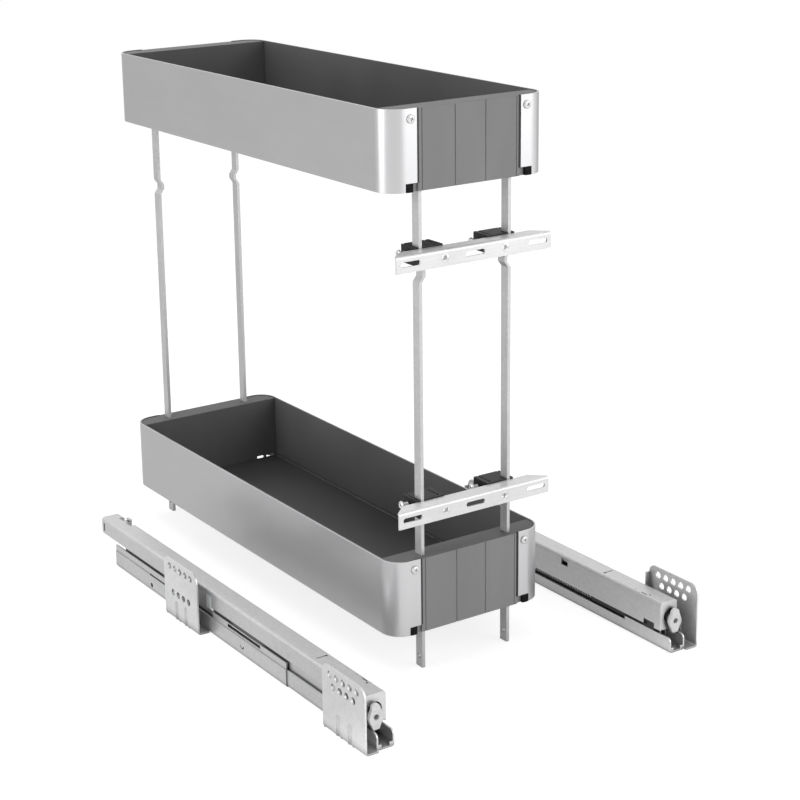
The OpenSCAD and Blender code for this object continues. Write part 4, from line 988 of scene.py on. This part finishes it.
class BASKET_OT_stage(bpy.types.Operator):
    """Set up the pale floor, the soft lamps, the world and the camera"""
    bl_idname = "basket.stage"
    bl_label = "Stage"

    def execute(self, context):
        s = context.scene.basket_stage
        self.make_floor()
        self.make_world(context, s)
        self.make_lamps(s)
        self.make_camera(context, s)
        context.scene.view_settings.view_transform = "Standard"
        return {"FINISHED"}

    def make_floor(self):
        r, z = FLOOR_REACH, FLOOR_LEVEL
        floor = new_object("Floor", mesh_from("floor", [
            (-r, -r, z), (r, -r, z), (r, r, z), (-r, r, z)], [(0, 1, 2, 3)]))
        f = Finish("White Sweep")
        f.base((FLOOR_GREY,) * 3)
        f.roughness(0.9)
        f.shader.inputs["Specular IOR Level"].default_value = 0.0
        split = f.add("ShaderNodeSeparateXYZ")
        f.link(f.coords, split.inputs["Vector"])
        mirrored = f.span(split.outputs["Y"], REAR_GLOW, FRONT_GLOW, *GLOW_FADE)
        ray = f.add("ShaderNodeLightPath")
        straight = f.add("ShaderNodeMath", operation="MAXIMUM")
        f.link(ray.outputs["Is Camera Ray"], straight.inputs[0])
        f.link(ray.outputs["Is Transmission Ray"], straight.inputs[1])
        seen = f.add("ShaderNodeMath", operation="MULTIPLY")
        f.link(straight.outputs[0], seen.inputs[0])
        seen.inputs[1].default_value = SEEN_GLOW
        power = f.add("ShaderNodeMath", operation="MULTIPLY_ADD")
        f.link(ray.outputs["Is Glossy Ray"], power.inputs[0])
        f.link(mirrored, power.inputs[1])
        f.link(seen.outputs[0], power.inputs[2])
        glow = f.add("ShaderNodeEmission")
        glow.inputs["Color"].default_value = (1.0, 1.0, 1.0, 1.0)
        f.link(power.outputs[0], glow.inputs["Strength"])
        both = f.add("ShaderNodeAddShader")
        f.link(f.shader.outputs[0], both.inputs[0])
        f.link(glow.outputs[0], both.inputs[1])
        f.link(both.outputs[0], f.tree.nodes["Material Output"].inputs["Surface"])
        floor.data.materials.append(f.done())

    def make_world(self, context, s):
        """Soft light from all round; the camera and shiny faces see plain white."""
        world = bpy.data.worlds.new("Studio")
        context.scene.world = world
        world.use_nodes = True
        tree = world.node_tree
        add, link = tree.nodes.new, tree.links.new
        light, white = tree.nodes["Background"], add("ShaderNodeBackground")
        for background, strength in ((light, s.ambient), (white, 1.0)):
            background.inputs["Color"].default_value = (1.0, 1.0, 1.0, 1.0)
            background.inputs["Strength"].default_value = strength
        ray, mix = add("ShaderNodeLightPath"), add("ShaderNodeMixShader")
        share = ray.outputs["Is Camera Ray"]
        for kind in ("Is Transmission Ray", "Is Glossy Ray"):
            either = add("ShaderNodeMath")
            either.operation = "MAXIMUM"
            link(share, either.inputs[0])
            link(ray.outputs[kind], either.inputs[1])
            share = either.outputs[0]
        link(share, mix.inputs[0])
        link(light.outputs[0], mix.inputs[1])
        link(white.outputs[0], mix.inputs[2])
        link(mix.outputs[0], tree.nodes["World Output"].inputs["Surface"])

    def make_lamps(self, s):
        """Large soft lamps in front, to the left and overhead."""
        # Name, place, what it faces, power, width and height of the panel
        for name, place, aim, power, width, height in (
                ("Key_Lamp", (1.15, -1.85, 0.85), (0.0, 0.0, 0.25), s.key_power, 1.8, 1.6),
                ("Side_Lamp", (-1.95, 0.2, 0.62), (0.0, 0.0, 0.2), s.side_power, 1.1, 1.2),
                ("Top_Lamp", (-0.3, 0.2, 2.2), (0.0, 0.0, 0.0), s.top_power, 1.4, 1.4)):
            data = bpy.data.lights.new(name, "AREA")
            data.energy, data.shape = power, "RECTANGLE"
            data.size, data.size_y = width, height
            lamp = new_object(name, data)
            lamp.visible_camera = False
            lamp.location = place
            lamp.rotation_euler = (Vector(aim) - Vector(place)).to_track_quat("-Z", "Y").to_euler()

    def make_camera(self, context, s):
        """The photograph's viewpoint."""
        data = bpy.data.cameras.new("Camera")
        data.sensor_width, data.lens = SENSOR_WIDTH, s.lens
        data.shift_x, data.shift_y = CAMERA_SHIFT
        data.clip_start, data.clip_end = 0.05, 60.0
        camera = new_object("Camera", data)
        camera.location = CAMERA_PLACE
        camera.rotation_mode = "QUATERNION"
        camera.rotation_quaternion = (
            Euler((0, 0, CAMERA_YAW)).to_quaternion()
            @ Euler((math.pi / 2 + CAMERA_PITCH, 0, 0)).to_quaternion()
            @ Euler((0, 0, CAMERA_ROLL)).to_quaternion())
        context.scene.camera = camera


OPERATORS = (
    BASKET_OT_tray_panels, BASKET_OT_liners, BASKET_OT_end_blocks, BASKET_OT_clamps,
    BASKET_OT_edge_seals, BASKET_OT_flat_bars, BASKET_OT_door_brackets, BASKET_OT_runner_steel,
    BASKET_OT_runner_plastics, BASKET_OT_screws, BASKET_OT_rivets, BASKET_OT_rollers,
    BASKET_OT_closing_springs, BASKET_OT_stage,
)

SETTINGS = (
    ("basket_trays", TraySettings), ("basket_steel", SteelSettings),
    ("basket_fixings", FixingSettings), ("basket_springs", SpringSettings),
    ("basket_stage", StageSettings),
)


class BASKET_PT_panel(bpy.types.Panel):
    """The basket's settings and the buttons that make its pieces"""
    bl_idname = "BASKET_PT_panel"
    bl_label = "Pull-out Basket"
    bl_space_type = "VIEW_3D"
    bl_region_type = "UI"
    bl_category = "Pull-out Basket"

    def draw(self, context):
        for label, group in SETTINGS:
            box = self.layout.box()
            box.label(text=group.__name__.replace("Settings", ""))
            for key in group.__annotations__:
                box.prop(getattr(context.scene, label), key)
        for operator in OPERATORS:
            self.layout.operator(operator.bl_idname)


def register():
    """Registers the settings, the operators and the panel."""
    for label, group in SETTINGS:
        bpy.utils.register_class(group)
        setattr(bpy.types.Scene, label, bpy.props.PointerProperty(type=group))
    for operator in OPERATORS:
        bpy.utils.register_class(operator)
    bpy.utils.register_class(BASKET_PT_panel)


def unregister():
    bpy.utils.unregister_class(BASKET_PT_panel)
    for operator in reversed(OPERATORS):
        bpy.utils.unregister_class(operator)
    for label, group in reversed(SETTINGS):
        delattr(bpy.types.Scene, label)
        bpy.utils.unregister_class(group)


def main():
    """Makes every piece in order."""
    register()
    bpy.ops.basket.tray_panels()
    bpy.ops.basket.liners()
    bpy.ops.basket.end_blocks()
    bpy.ops.basket.clamps()
    bpy.ops.basket.edge_seals()
    bpy.ops.basket.flat_bars()
    bpy.ops.basket.door_brackets()
    bpy.ops.basket.runner_steel()
    bpy.ops.basket.runner_plastics()
    bpy.ops.basket.screws()
    bpy.ops.basket.rivets()
    bpy.ops.basket.rollers()
    bpy.ops.basket.closing_springs()
    bpy.ops.basket.stage()


if __name__ == "__main__":
    main()
